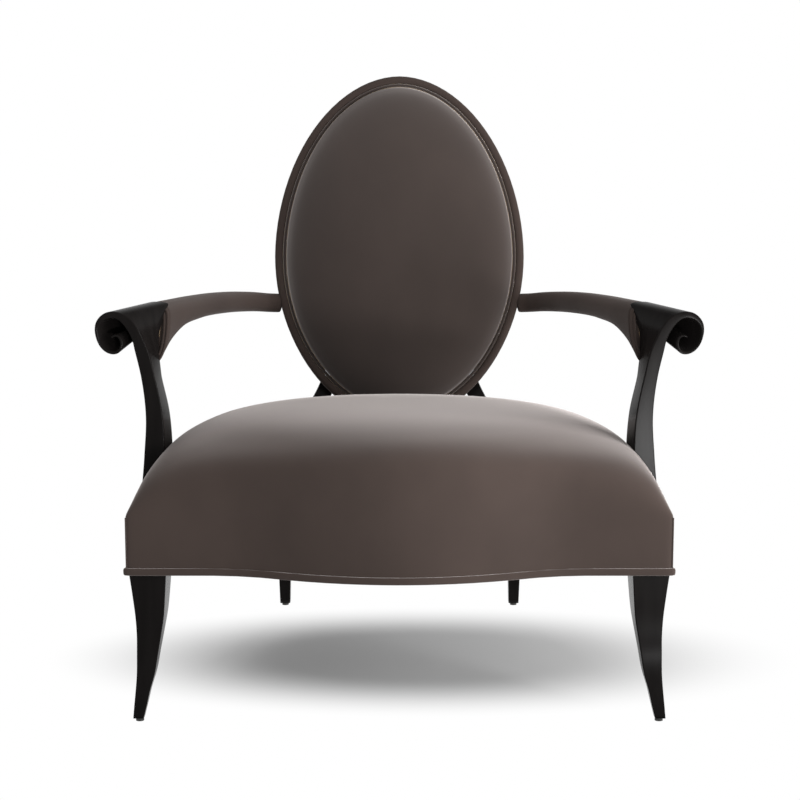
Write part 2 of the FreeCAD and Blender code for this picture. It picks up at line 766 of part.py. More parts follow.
def rail_dowel_list():
    """Dowels of the right side's rail ends, and their holes."""
    along = side_directions()[0]
    middle_z = (rail_bottom_z + rail_top_z) / 2
    half_rail = rail_inset + rail_thickness / 2
    front_leg_x = leg_outer_x - leg_top_width
    front_leg_rear_y = leg_front_y + leg_top_depth
    rear_leg_front_y = rear_seat_y - rear_leg_depth / 2
    rear_leg_inner_x = side_x(rear_seat_y, half_rail) - rear_leg_width / 2
    joints = [
        (front_leg_x, seat_front_y + half_rail, V(1, 0, 0), dowel_spacing_close),
        (side_x(front_leg_rear_y, half_rail), front_leg_rear_y, along, dowel_spacing_wide),
        (side_x(rear_leg_front_y, half_rail), rear_leg_front_y, along, dowel_spacing_wide),
        (rear_leg_inner_x, seat_rear_y - half_rail, V(1, 0, 0), dowel_spacing_close),
    ]
    found = []
    for x, y, direction, spacing in joints:
        for side in (-1, 1):
            middle = V(x, y, middle_z + side * spacing / 2)
            start = middle - direction * (dowel_length / 2)
            solid = bar(dowel_radius, start, direction, dowel_length)
            hole_start = start - direction * wood_gap
            hole = bar(dowel_radius + wood_gap, hole_start, direction, dowel_length + 2 * wood_gap)
            found.append((solid, hole))
    return found


def post_bolts():
    """Bolts from inside the right side rail into the post's foot, and their holes."""
    outward = side_directions()[1]
    foot_y = post_front_y + post_depth / 2
    inner = rail_inset + rail_thickness
    found = []
    low_z = rail_bottom_z + post_bolt_rise
    for z in (low_z, low_z + post_bolt_spacing):
        face = V(side_x(foot_y, inner), foot_y, z)
        solid = bar(bolt_radius, face, outward, post_bolt_length)
        head_start = face - outward * bolt_head_height
        solid = solid.fuse(bar(bolt_head_radius, head_start, outward, bolt_head_height))
        hole_length = post_bolt_length + 2 * wood_gap
        hole = bar(bolt_radius + wood_gap, face - outward * wood_gap, outward, hole_length)
        found.append((solid, hole))
    return found


def back_bolts():
    """Bolts from inside the oval frame and the cross rail into the right upright, with their holes."""
    slope = back_lean_run / back_lean_rise
    ring_rear = back_thickness - outside_back_thickness
    end = back_thickness + back_bolt_bite
    found = []
    for z, spread, head_y in (
        (back_bolt_low_z, rear_spread_shares[7], ring_front),
        (cross_rail_z, 0.0, ring_front + cross_rail_recess),
    ):
        x = upright_x + (rear_foot_x - upright_x) * spread
        local_z = (z - back_centre_z) / back_lean_rise - ring_rear * slope
        head = V(x, head_y, local_z)
        seat = head_y + bolt_head_height
        solid = bar(bolt_head_radius, head, V(0, 1, 0), bolt_head_height)
        solid = solid.fuse(bar(bolt_radius, V(x, seat, local_z), V(0, 1, 0), end - seat))
        bore_start = V(x, head_y - overrun, local_z)
        bore = bar(bolt_head_radius + wood_gap, bore_start, V(0, 1, 0), overrun + bolt_head_height)
        hole = bore.fuse(bar(bolt_radius + wood_gap, V(x, seat, local_z), V(0, 1, 0), end - seat + wood_gap))
        found.append((seated_back(solid), seated_back(hole)))
    return found


def arm_bolt():
    """The bolt from inside the oval frame into the right arm's end, with its hole."""
    place = arm_stations()[-1][0]
    end_x = back_half_width - ring_inset + arm_bolt_bite
    start = V(end_x - arm_bolt_length, place.y, place.z)
    solid = bar(bolt_radius, start, V(1, 0, 0), arm_bolt_length)
    head_start = start - V(bolt_head_height, 0, 0)
    solid = solid.fuse(bar(bolt_head_radius, head_start, V(1, 0, 0), bolt_head_height))
    bore_start = start - V(ring_width, 0, 0)
    bore = bar(bolt_head_radius + wood_gap, bore_start, V(1, 0, 0), ring_width)
    hole = bore.fuse(bar(bolt_radius + wood_gap, start, V(1, 0, 0), arm_bolt_length + wood_gap))
    return solid, hole


def arm_dowels():
    """Dowels that join the right arm's core to the post, with their holes."""
    found = []
    for side in (-1, 1):
        z = arm_dowel_z + side * arm_dowel_spacing / 2
        start = V(arm_dowel_x, seam_y(z) - arm_dowel_length / 2, z)
        solid = bar(arm_dowel_radius, start, V(0, 1, 0), arm_dowel_length)
        hole_start = start - V(0, wood_gap, 0)
        hole = bar(arm_dowel_radius + wood_gap, hole_start, V(0, 1, 0), arm_dowel_length + 2 * wood_gap)
        found.append((solid, hole))
    return found


def ring_dowels():
    """Dowels across the four joints of the oval frame, with their holes, in the leaning place."""
    middle_depth = (ring_front + back_thickness - outside_back_thickness) / 2
    band = ring_inset + ring_width / 2
    places = [
        (V(0, middle_depth, back_upper_height - band), V(1, 0, 0)),
        (V(0, middle_depth, -back_lower_height + band), V(1, 0, 0)),
        (V(back_half_width - band, middle_depth, 0), V(0, 0, 1)),
        (V(-back_half_width + band, middle_depth, 0), V(0, 0, 1)),
    ]
    found = []
    for middle, direction in places:
        start = middle - direction * (ring_dowel_length / 2)
        solid = bar(ring_dowel_radius, start, direction, ring_dowel_length)
        hole_start = start - direction * wood_gap
        hole = bar(ring_dowel_radius + wood_gap, hole_start, direction, ring_dowel_length + 2 * wood_gap)
        found.append((seated_back(solid), seated_back(hole)))
    return found


def without(shape, tools):
    """The shape with every tool that reaches it cut away."""
    near = [tool for tool in tools if shape.BoundBox.intersect(tool.BoundBox)]
    return shape.cut(near) if near else shape


def both_sides(pairs):
    """Solids and holes of both sides, from the right side's pairs."""
    solids = [solid for solid, hole in pairs]
    holes = [hole for solid, hole in pairs]
    return solids + [mirrored(s) for s in solids], holes + [mirrored(h) for h in holes]


def save(name, shape):
    """Keeps a piece under its name."""
    pieces[name] = shape


def save_pair(name, right):
    """Keeps the right piece and its mirror image for the left."""
    save(name + "_right", right)
    save(name + "_left", mirrored(right))


pieces = {}

# Tools shared by several pieces
front_leg = front_leg_form()
rear_leg = rear_leg_form()
post = arm_post_form()
leg_room = [front_leg_form(soft_gap), rear_leg_form(soft_gap)]
leg_room += [mirrored(tool) for tool in leg_room]
rear_leg_fit = rear_leg_form(wood_gap)
back_room = seated_back(oval_plate(-soft_gap, -panel_crown, back_thickness + soft_gap))
dowels, dowel_holes = both_sides(rail_dowel_list())
screws, screw_holes = both_sides(block_screws())
post_bolt_solids, post_bolt_holes = both_sides(post_bolts())
back_bolt_solids, back_bolt_holes = both_sides(back_bolts())
arm_bolt_solids, arm_bolt_holes = both_sides([arm_bolt()])
arm_dowel_solids, arm_dowel_holes = both_sides(arm_dowels())

post_room = arm_post_form(soft_gap)
post_rooms = [post_room, mirrored(post_room)]
ring_rear = back_thickness - outside_back_thickness
panel_inset = border_lip + 2 * welt_gap + welt_size
hessian_front = ring_front - 2 * webbing_thickness - hessian_thickness
core_inset = arm_cover_thickness + soft_gap + arm_padding_thickness
core_room = arm_form(core_inset - soft_gap)

# Glides: a disc under each foot, with a nail up into the wood
toe_half_width = (leg_toe_width + leg_toe_depth * side_slope / 2) / 2
front_toe_x = leg_outer_x - leg_waist * leg_toe_waist_share - toe_half_width
front_toe_y = leg_front_y - leg_toe_forward + leg_toe_depth / 2
rear_toe_y = rear_seat_y + rear_rake * rear_foot_rake_share
glides = []
nail_holes = []
for x, y in ((front_toe_x, front_toe_y), (rear_foot_x, rear_toe_y)):
    disc = bar(glide_radius, V(x, y, 0), V(0, 0, 1), glide_height, glide_sides)
    nail = bar(glide_nail_radius, V(x, y, glide_height), V(0, 0, 1), glide_nail_length)
    glides.append(disc.fuse(nail))
    hole_length = glide_nail_length + wood_gap
    nail_holes.append(bar(glide_nail_radius + wood_gap, V(x, y, glide_height), V(0, 0, 1), hole_length))
save("foot_glides", Part.makeCompound(glides + [mirrored(g) for g in glides]))

# Legs and posts
save_pair("front_leg", without(front_leg, dowel_holes + nail_holes))
rear_holes = [back_room] + dowel_holes + nail_holes + back_bolt_holes
save_pair("rear_leg", without(rear_leg, rear_holes))
save_pair("arm_post", without(post, post_bolt_holes + arm_dowel_holes))

# Seat frame
save("front_rail", without(serpentine_rail(), dowel_holes + screw_holes))
side_tools = [post_room, rear_leg_fit] + dowel_holes + screw_holes + post_bolt_holes
save_pair("side_rail", without(side_rail(), side_tools))
rear_tools = [rear_leg_fit, mirrored(rear_leg_fit)] + dowel_holes + screw_holes
save("rear_rail", without(rear_rail_form(), rear_tools))
front_block, rear_block = corner_blocks()
save_pair("front_corner_block", without(front_block, screw_holes))
save_pair("rear_corner_block", without(rear_block, screw_holes))
save("rail_dowels", Part.makeCompound(dowels))
save("corner_block_screws", Part.makeCompound(screws))
save("arm_post_bolts", Part.makeCompound(post_bolt_solids))

# Oval frame, in four sawn pieces, and its cross rail
ring = oval_plate(ring_inset, ring_front, ring_rear).cut(
    oval_plate(ring_inset + ring_width, ring_front - overrun, ring_rear + overrun))
ring_pairs = ring_dowels()
ring_holes = [hole for solid, hole in ring_pairs]
reach = back_half_width + overrun
for name, z, height in (
    ("back_frame_upper", wood_gap / 2, back_upper_height),
    ("back_frame_lower", -back_lower_height - wood_gap / 2, back_lower_height),
):
    quarter_box = Part.makeBox(reach, 2 * back_thickness, height, V(wood_gap / 2, -back_thickness / 2, z))
    quarter = seated_back(ring.common(quarter_box))
    save_pair(name, without(quarter, ring_holes + back_bolt_holes + arm_bolt_holes))
save("back_frame_dowels", Part.makeCompound([solid for solid, hole in ring_pairs]))
cross_z = (cross_rail_z - back_centre_z) / back_lean_rise - cross_rail_height / 2
cross_front = ring_front + cross_rail_recess
cross_corner = V(-reach, cross_front, cross_z)
cross_box = Part.makeBox(2 * reach, ring_rear - cross_front, cross_rail_height, cross_corner)
inside = oval_plate(ring_inset + ring_width + wood_gap, cross_front - overrun, ring_rear + overrun)
save("back_cross_rail", without(seated_back(cross_box.common(inside)), back_bolt_holes + arm_bolt_holes))
save("back_bolts", Part.makeCompound(back_bolt_solids))
save("arm_bolts", Part.makeCompound(arm_bolt_solids))
save("arm_dowels", Part.makeCompound(arm_dowel_solids))

# Seat webbing, hessian and foam
plan = prism(seat_outline(strap_inset, rail_top_z), V(0, 0, rail_thickness))
long_straps = []
for i in range(seat_straps_long):
    x = (i - (seat_straps_long - 1) / 2) * seat_strap_pitch_x - webbing_width / 2
    depth = seat_rear_y - seat_front_y + 2 * bow_depth
    strap = Part.makeBox(webbing_width, depth, webbing_thickness, V(x, seat_front_y - bow_depth, rail_top_z))
    long_straps.append(without(strap.common(plan), leg_room))
save("seat_webbing_long", Part.makeCompound(long_straps))
cross_straps = []
for i in range(seat_straps_cross):
    y = seat_strap_first_y + i * seat_strap_pitch_y - webbing_width / 2
    corner = V(-seat_front_half, y, rail_top_z + webbing_thickness)
    strap = Part.makeBox(2 * seat_front_half, webbing_width, webbing_thickness, corner)
    cross_straps.append(without(strap.common(plan), post_rooms + leg_room))
save("seat_webbing_cross", Part.makeCompound(cross_straps))
hessian_z = rail_top_z + 2 * webbing_thickness
hessian = prism(seat_outline(seat_hessian_inset, hessian_z), V(0, 0, hessian_thickness))
save("seat_hessian", without(hessian, post_rooms + leg_room))
foam = seat_form(cover_thickness + soft_gap, hessian_z + hessian_thickness)
save("seat_foam", without(foam, post_rooms + leg_room))

# Seat cover, hem welt and dust cover
cover = seat_form(0, hem_z).cut(seat_form(cover_thickness, hem_z - overrun))
save("seat_cover", without(cover, post_rooms + leg_room[1::2]))
hem_top = hem_z + hem_welt_height
hem_profile = [
    (-wood_gap, hem_z),
    (-hem_welt_proud + hem_welt_edge / 2, hem_z),
    (-hem_welt_proud, hem_z + hem_welt_edge),
    (-hem_welt_proud, hem_top - hem_welt_edge),
    (-hem_welt_proud + hem_welt_edge / 2, hem_top),
    (-wood_gap, hem_top),
]
save("seat_hem_welt", without(ring_from_profile(seat_outline, hem_profile), leg_room[1::2]))
dust_z = rail_bottom_z - dust_cover_thickness
dust = prism(seat_outline(dust_cover_inset, dust_z), V(0, 0, dust_cover_thickness))
save("dust_cover", without(dust, leg_room))

# Back webbing, hessian and foam
landing = panel_inset + cover_thickness + landing_margin
field = oval_plate(landing, hessian_front, ring_front)
up_straps = []
for i in range(back_straps_up):
    x = (i - (back_straps_up - 1) / 2) * back_strap_pitch_x - webbing_width / 2
    corner = V(x, ring_front - webbing_thickness, -back_lower_height)
    strap = Part.makeBox(webbing_width, webbing_thickness, back_lower_height + back_upper_height, corner)
    up_straps.append(seated_back(strap.common(field)))
save("back_webbing_upright", Part.makeCompound(up_straps))
across_straps = []
for i in range(back_straps_cross):
    z = back_strap_first_z + i * back_strap_pitch_z - webbing_width / 2
    corner = V(-back_half_width, ring_front - 2 * webbing_thickness, z)
    strap = Part.makeBox(2 * back_half_width, webbing_thickness, webbing_width, corner)
    across_straps.append(seated_back(strap.common(field)))
save("back_webbing_cross", Part.makeCompound(across_straps))
save("back_hessian", seated_back(oval_plate(landing, hessian_front, hessian_front + hessian_thickness)))
foam_inset = panel_inset + cover_thickness + soft_gap
back_foam = panel_form(foam_inset, ring_front, panel_crown - cover_thickness - soft_gap)
behind = oval_plate(0, hessian_front, ring_front + overrun)
save("back_foam", seated_back(back_foam.cut(behind)))

# Inside back cover, welts, border and outside back
panel = panel_form(panel_inset, ring_front, panel_crown)
hollow = panel_form(panel_inset + cover_thickness, ring_front, panel_crown - cover_thickness)
save("inside_back_cover", seated_back(panel.cut(hollow)))

front_welt_inset = border_lip + welt_gap + welt_size / 2
front_welt_depth = ring_front - welt_size / 2
front_profile = welt_profile(front_welt_inset, front_welt_depth, welt_size, welt_size)
front_welt = ring_from_profile(oval_wire, front_profile)
save("inside_back_welt", seated_back(front_welt))
border_profile = [
    (border_lip, ring_front - wood_gap),
    (border_lip, -border_swell / 2),
    (border_lip * border_high_share, -border_swell),
    (border_lip * border_turn_share, 0),
    (0, ring_front),
    (0, ring_rear),
    (ring_inset - wood_gap, ring_rear),
    (ring_inset - wood_gap, ring_front - wood_gap),
]
border = seated_back(ring_from_profile(oval_wire, border_profile))
save("back_border", without(border, [core_room, mirrored(core_room)] + arm_bolt_holes))
rear_welt_middle = ring_rear + outside_back_thickness / 2
rear_profile = welt_profile(rear_welt_size / 2, rear_welt_middle, rear_welt_size, outside_back_thickness)
rear_welt = ring_from_profile(oval_wire, rear_profile)
save("outside_back_welt", seated_back(rear_welt))
outside = oval_plate(rear_welt_size + soft_gap, ring_rear, back_thickness)
save("outside_back_cover", without(seated_back(outside), back_bolt_holes))

# Arms
cover_fit = seated_back(oval_plate(-soft_gap, -panel_crown, back_thickness + panel_crown))
core_fit = seated_back(oval_plate(ring_inset - wood_gap, -panel_crown, back_thickness + panel_crown))
arm_inside = arm_form(arm_cover_thickness, soft_gap)
save_pair("arm_cover", arm_form(0, soft_gap).cut(arm_inside).cut(cover_fit))
arm_padding = arm_form(arm_cover_thickness + soft_gap, soft_gap)
arm_padding = arm_padding.cut(arm_form(core_inset - soft_gap, soft_gap))
save_pair("arm_padding", arm_padding.cut(cover_fit))
core = arm_form(core_inset, wood_gap).cut(core_fit)
save_pair("arm_core", without(core, arm_dowel_holes + arm_bolt_holes))
save_pair("arm_front_welt", arm_welt_form())

# The chair stands with the middle of its depth over the origin
os.makedirs("parts", exist_ok=True)
whole = Part.makeCompound(list(pieces.values())).optimalBoundingBox(False)
for name, shape in pieces.items():
    placed = shape.copy()
    placed.translate(V(0, -(whole.YMin + whole.YMax) / 2, 0))
    placed.exportStep("parts/" + name + ".step")
print("width", round(whole.XLength, 1), "depth", round(whole.YLength, 1), "height", round(whole.ZMax, 1))
print("depth shift", round(-(whole.YMin + whole.YMax) / 2, 2), "pieces", len(pieces))
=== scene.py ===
"""Looks of an upholstered lounge armchair: velvet over a crowned seat and an oval back, black lacquered wood."""

import json
import math

import bmesh
import bpy
from mathutils import Matrix, Vector


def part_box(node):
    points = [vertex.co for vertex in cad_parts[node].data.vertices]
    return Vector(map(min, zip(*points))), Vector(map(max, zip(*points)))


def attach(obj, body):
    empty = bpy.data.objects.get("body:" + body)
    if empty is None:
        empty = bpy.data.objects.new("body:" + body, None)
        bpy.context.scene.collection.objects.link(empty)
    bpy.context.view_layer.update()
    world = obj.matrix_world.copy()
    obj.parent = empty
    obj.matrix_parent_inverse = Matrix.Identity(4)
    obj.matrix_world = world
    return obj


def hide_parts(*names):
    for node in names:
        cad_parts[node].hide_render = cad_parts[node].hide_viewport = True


bl_info = {
    "name": "Oval Back Armchair",
    "version": (1, 0, 0),
    "blender": (4, 5, 0),
    "location": "3D View > Sidebar > Armchair",
    "description": "Models the covers and the show wood of an upholstered armchair round its packed frame",
    "category": "Object",
}

# All sizes are in metres
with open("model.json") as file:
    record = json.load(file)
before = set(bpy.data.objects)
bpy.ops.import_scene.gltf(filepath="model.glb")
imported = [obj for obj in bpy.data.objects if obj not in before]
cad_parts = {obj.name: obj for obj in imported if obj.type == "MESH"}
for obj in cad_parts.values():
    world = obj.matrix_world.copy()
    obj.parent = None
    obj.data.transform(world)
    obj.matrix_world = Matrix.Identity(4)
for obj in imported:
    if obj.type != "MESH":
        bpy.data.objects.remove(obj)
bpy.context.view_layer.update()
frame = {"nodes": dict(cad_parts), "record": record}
SEAT_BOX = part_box("seat_cover")
POST_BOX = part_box("arm_post_right")
LEG_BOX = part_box("front_leg_right")
REAR_LEG_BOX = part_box("rear_leg_right")
BACK_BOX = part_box("back_border")
SIDES = ((1, "right"), (-1, "left"))

# Seat crown: its place between front and rear, how far the walls at the front, the sides and the rear rise
# over the shoulder before they round over, and how full these three profiles are
CROWN_PLACE = 0.4922
WALL_RISES = (0.050, 0.085, 0.029)
CROWN_POWERS = (3.6, 2.128, 1.698)
CROWN_LEVELS = 40
CROWN_CLIMB = math.radians(89)
CROWN_EASINGS = 2

# How square the corners of the seat's plan are: at its walls, and at shares of the height from the shoulder
# to the crown, as powers of two
SQUARE_CORNER = 97.0
CORNER_HEIGHTS = (0.0, 0.08, 0.2, 0.35, 0.55, 0.75, 1.0)
CORNER_DOUBLINGS = (6.6, 5.063, 4.0, 3.203, 2.228, 1.29, 1.002)

# Steps in a quarter of the seat's plan, and how far they are drawn together at its corners
PLAN_STEPS = 40
CORNER_DRAW = 0.8

# The serpentine front: its bow's half width as a share of the seat's, and the hollow share of that
BOW_SHARE = 0.6935
BOW_HOLLOW = 0.36

# The seat's lower edge: levels of the walls, turning at the hem, its band as insets and heights, the dust cloth
WALL_LEVELS = 8
TURN_IN = 0.004
HEM_PROFILE = ((0.0006, 0.0), (-0.0016, 0.0002), (-0.0025, 0.0012), (-0.0028, 0.004), (-0.0028, 0.0075),
               (-0.0024, 0.0096), (-0.0014, 0.0106), (0.0006, 0.0108))
DUST_INSET = 0.005

# The seam up each front corner of the seat: its radius, how far under the shoulder it ends, levels and sides
SEAM_RADIUS = 0.0011
SEAM_END = 0.002
SEAM_LEVELS = 12
SEAM_SIDES = 8

# The oval: height of its middle, half heights over and under that, how full it is, and its points
OVAL_MIDDLE = 0.633
OVAL_UPPER, OVAL_LOWER = 0.324, 0.292
OVAL_POWER = 1.93
OVAL_POINTS = 96

# How deep the back's frame is, and the share of its rise that the lean is counted for
BACK_DEPTH = 0.032
LEAN_SHARE = 0.985

# Sections of the border band and places of the two welts, as insets and depths
BORDER_PROFILE = ((0.0140, 0.0040), (0.0140, 0.0004), (0.0128, -0.0008), (0.0090, -0.0013), (0.0050, -0.0010),
                  (0.0018, 0.0008), (0.0003, 0.0040), (0.0, 0.0090), (0.0, 0.0260), (0.0003, 0.0295),
                  (0.0016, 0.0315), (0.0034, 0.0320), (0.0034, 0.0050), (0.0060, 0.0040))
INSIDE_WELT = (0.0172, 0.0012)
OUTSIDE_WELT = (0.0026, 0.0336)
OUTSIDE_WELT_RADIUS = 0.0022

# The crowned inside panel: inset, depth of its edge, fullness, levels and passes of easing
PANEL_INSET, PANEL_EDGE = 0.0204, 0.004
PANEL_POWER = 2.1
PANEL_LEVELS = 30
PANEL_CLIMB = math.radians(88)
PANEL_EASINGS = 6

# The outside back: inset, depth of its edge in front and behind, swell and levels
BOARD_INSET = 0.0045
BOARD_FRONT, BOARD_REAR = 0.0322, 0.0345
BOARD_SWELL = 0.0022
BOARD_LEVELS = 8

# The right front leg: width and depth at the seat, waist, kick of its foot, and how far it is let into the seat
LEG_WIDTH, LEG_DEPTH = 0.055, 0.072
LEG_WAIST = 0.0103
LEG_KICK = 0.025
LEG_LET_IN = 0.006
LEG_STEP = 0.006

# Shares of the front leg's height, of its size at the seat, of its waist and of its kick
LEG_HEIGHTS = (0.0, 0.094, 0.175, 0.28, 0.42, 0.555, 0.66, 0.826, 1.0)
LEG_WIDTHS = (0.29, 0.35, 0.39, 0.48, 0.565, 0.655, 0.745, 0.87, 1.0)
LEG_DEPTHS = (0.236, 0.29, 0.36, 0.445, 0.555, 0.667, 0.75, 0.89, 1.0)
LEG_WAISTS = (0.57, 0.71, 0.845, 0.98, 1.0, 1.0, 0.875, 0.485, 0.0)
LEG_FORWARDS = (1.0, 0.82, 0.64, 0.42, 0.22, 0.12, 0.06, 0.02, 0.0)

# The right rear leg: its middle behind the oval, spread, rake, width and depth, and how far it is let in
REAR_INNER, REAR_SPREAD = 0.110, 0.097
REAR_RAKE = 0.105
REAR_WIDTH, REAR_DEPTH = 0.030, 0.037
REAR_LET_IN = 0.003
REAR_STEP = 0.008

# Shares of the rear leg's height, spread, rake and size
REAR_HEIGHTS = (0.0, 0.104, 0.226, 0.37, 0.452, 0.522, 0.609, 0.696, 0.748, 0.835, 0.922, 1.0)
REAR_SPREADS = (1.0, 0.99, 0.97, 0.943, 0.887, 0.773, 0.49, 0.20, 0.075, 0.01, 0.0, 0.0)
REAR_RAKES = (0.667, 0.505, 0.267, 0.048, 0.0, 0.057, 0.267, 0.505, 0.69, 0.79, 0.895, 0.99)
REAR_WIDTHS = (0.6, 0.7, 0.83, 0.97, 1.0, 1.0, 1.0, 1.0, 1.0, 0.97, 0.93, 0.87)
REAR_DEPTHS = (0.54, 0.65, 0.81, 0.97, 1.0, 0.97, 0.92, 0.84, 0.81, 0.78, 0.76, 0.7)

# The right arm post: its inner side at the foot, reach, rise, least depth, and the size of its roll
POST_INNER, POST_REACH = 0.346, 0.1035
POST_RISE = 0.358
POST_DEPTH = 0.046
POST_STEP = 0.0022
ROLL_SIZE = 0.064
ROLL_STEPS = 6

# The arm post's four long edges, as shares of its reach and rise, and the quarters of its roll
SHAFT_HEIGHTS = (0.0, 0.2, 0.397, 0.564, 0.732, 0.844)
POST_EDGES = {
    "front inner": (
        (0.09, 0.07, 0.03, 0.053, 0.159, 0.255),
        ((0.324, 0.891), (0.396, 0.934), (0.488, 0.968), (0.609, 0.992), (0.754, 1.0)),
        ((0.4, 0.406), (0.43, 0.594), (0.211, 0.242), (0.156, 0.219), (0.1, 0.045)),
    ),
    "front outer": (
        (0.415, 0.394, 0.332, 0.298, 0.356, 0.44),
        ((0.469, 0.88), (0.517, 0.912), (0.58, 0.94), (0.662, 0.964), (0.757, 0.973)),
        ((0.331, 0.333), (0.3375, 0.45), (0.177, 0.177), (0.102, 0.172), (0.075, 0.032)),
    ),
    "rear outer": (
        (0.357, 0.337, 0.279, 0.25, 0.298, 0.365),
        ((0.3, 0.888), (0.222, 0.919), (0.193, 0.95), (0.213, 0.982), (0.3, 0.993)),
        ((0.22, 0.148), (0.125, 0.125), (0.1, 0.07), (0.047, 0.047), (0.02, 0.01)),
    ),
    "rear inner": (
        (0.02, 0.005, -0.03, 0.005, 0.12, 0.163),
        ((0.159, 0.891), (0.121, 0.936), (0.072, 0.985), (0.045, 1.014), (0.235, 1.021)),
        ((0.43, 0.36), (0.25, 0.266), (0.148, 0.148), (0.1, 0.109), (0.04, 0.02)),
    ),
}

# The seam plane between post and pad: behind the post's front at a height, leaning one in so many
SEAM_BACK, SEAM_HEIGHT = 0.055, 0.511
SEAM_LEAN = 3

# The right arm pad: its middle at the post, how far it runs back, inward and down to the oval and turns on
# the way, its width and height at the post and what they lose, how full its section is, and its points
ARM_FRONT_X, ARM_FRONT_Z = 0.373, 0.572
ARM_LENGTH, ARM_INWARD, ARM_FALL = 0.449, 0.164, 0.022
ARM_ANGLE = math.radians(80)
ARM_WIDTH, ARM_WIDTH_LOSS = 0.048, 0.015
ARM_HEIGHT, ARM_HEIGHT_LOSS = 0.0374, 0.0045
ARM_POWER = 2.3
ARM_POINTS = 44
ARM_STEP = 0.009

# The bracket under the pad's front end: its drop, how pointed it is, and how far it leans inward
BRACKET_DROP = 0.050
BRACKET_POINT = 1.3
BRACKET_INWARD = 0.07

# The cords on the pad's front end: how far inside its outline, and how far in front of it
CORD_INSETS = (0.0024, 0.0071)
CORD_DEPTH = -0.0004

# Shares along the arm, from the post to the oval
ARM_ALONG = (0.0, 0.07, 0.18, 0.42, 0.64, 0.83, 0.94, 0.985, 1.0)
ARM_SWEEP = (0.0, 0.035, 0.10, 0.245, 0.41, 0.59, 0.76, 0.88, 1.0)
ARM_DROP = (0.0, 0.0, 0.045, 0.16, 0.32, 0.57, 0.795, 0.95, 1.0)
ARM_TURN = (0.0, 0.06, 0.11, 0.18, 0.23, 0.33, 0.52, 0.8, 1.0)
ARM_NARROW = (0.0, 0.0, 0.0, 0.1, 0.3, 0.55, 0.8, 0.95, 1.0)
ARM_BRACKET = (1.0, 0.66, 0.27, 0.03, 0.0, 0.0, 0.0, 0.0, 0.0)

# Colours of the pieces that are mostly hidden, and threads per metre of the black cloth
JUTE = (0.35, 0.26, 0.15)
HESSIAN = (0.4, 0.3, 0.18)
FOAM_LOW, FOAM_HIGH = (0.62, 0.56, 0.4), (0.8, 0.75, 0.6)
ZINC = (0.55, 0.55, 0.56)
NICKEL = (0.05, 0.05, 0.048)
BLACK_CLOTH, BLACK_THREADS = (0.02, 0.02, 0.02), 900.0

# Each lamp's place, the place that it is turned to, and its width and length
TOP_LIGHT = ((-0.35, -0.1, 2.3), (0.0, 0.0, 0.4), (1.6, 1.6))
SIDE_LIGHT = ((2.3, -1.0, 0.6), (0.0, 0.0, 0.5), (1.8, 1.8))
LOW_CARD = ((0.69, -2.4, 0.02), (0.69, -2.4, 1.0), (0.36, 1.2))

# The floor: radius, its grey to the camera and to other rays, and the round patch that keeps the shadow
FLOOR_RADIUS = 9.0
FLOOR_GREY, FLOOR_BOUNCE = 0.69, 0.5
SHADOW_PLACE, SHADOW_SCALE = (-0.064, 0.096, 0.0), (1.6, 3.2, 1.0)
SHADOW_FULL = 0.62

# The camera's sensor in millimetres, and the small sideways shift of the photograph
SENSOR_WIDTH = 36.0
CAMERA_SHIFT = 0.00075


class ChairForm(bpy.types.PropertyGroup):
    """Sizes of the covers and the show wood."""

    seat_front_half: bpy.props.FloatProperty(
        name="Seat half width, front", description="From the middle to the front corner",
        default=0.398, min=0.2, max=0.6, unit="LENGTH")
    seat_rear_half: bpy.props.FloatProperty(
        name="Seat half width, rear", description="From the middle to the rear corner",
        default=0.214, min=0.1, max=0.5, unit="LENGTH")
    seat_bow: bpy.props.FloatProperty(
        name="Bow of the front", description="How far the serpentine front stands out in the middle",
        default=0.055, min=0.0, max=0.1, unit="LENGTH")
    seat_crown: bpy.props.FloatProperty(
        name="Crown height", description="Height of the seat's crown over the floor",
        default=0.434, min=0.35, max=0.5, unit="LENGTH")
    seat_shoulder: bpy.props.FloatProperty(
        name="Shoulder height", description="Height at which the seat's corners start to round over",
        default=0.300, min=0.25, max=0.4, unit="LENGTH")
    back_lean: bpy.props.FloatProperty(
        name="Lean of the back", description="Angle of the back from upright",
        default=math.radians(13), min=0.0, max=0.6, subtype="ANGLE")
    back_half_width: bpy.props.FloatProperty(
        name="Oval half width", description="From the middle of the oval to its side",
        default=0.220, min=0.1, max=0.4, unit="LENGTH")
    back_crown: bpy.props.FloatProperty(
        name="Crown of the back", description="How far the inside back stands forward",
        default=0.062, min=0.0, max=0.09, unit="LENGTH")
    welt_radius: bpy.props.FloatProperty(
        name="Welt radius", description="Radius of the covered cords",
        default=0.0026, min=0.001, max=0.006, unit="LENGTH")
    arris: bpy.props.FloatProperty(
        name="Arris", description="Rounding of the wood's edges",
        default=0.0017, min=0.0003, max=0.004, unit="LENGTH")


class ChairFinish(bpy.types.PropertyGroup):
    """Colours of the cloth and the wood."""

    velvet: bpy.props.FloatVectorProperty(
        name="Velvet", description="Colour of the velvet's pile", size=3,
        default=(0.055, 0.040, 0.0345), min=0.0, max=1.0, subtype="COLOR")
    velvet_sheen: bpy.props.FloatVectorProperty(
        name="Velvet sheen", description="Colour of the pile seen along the surface", size=3,
        default=(0.80, 0.74, 0.72), min=0.0, max=1.0, subtype="COLOR")
    lacquer: bpy.props.FloatVectorProperty(
        name="Lacquer", description="Colour of the lacquered wood", size=3,
        default=(0.0058, 0.0050, 0.0048), min=0.0, max=1.0, subtype="COLOR")
    hardwood: bpy.props.FloatVectorProperty(
        name="Hardwood", description="Colour of the bare frame wood", size=3,
        default=(0.55, 0.38, 0.22), min=0.0, max=1.0, subtype="COLOR")


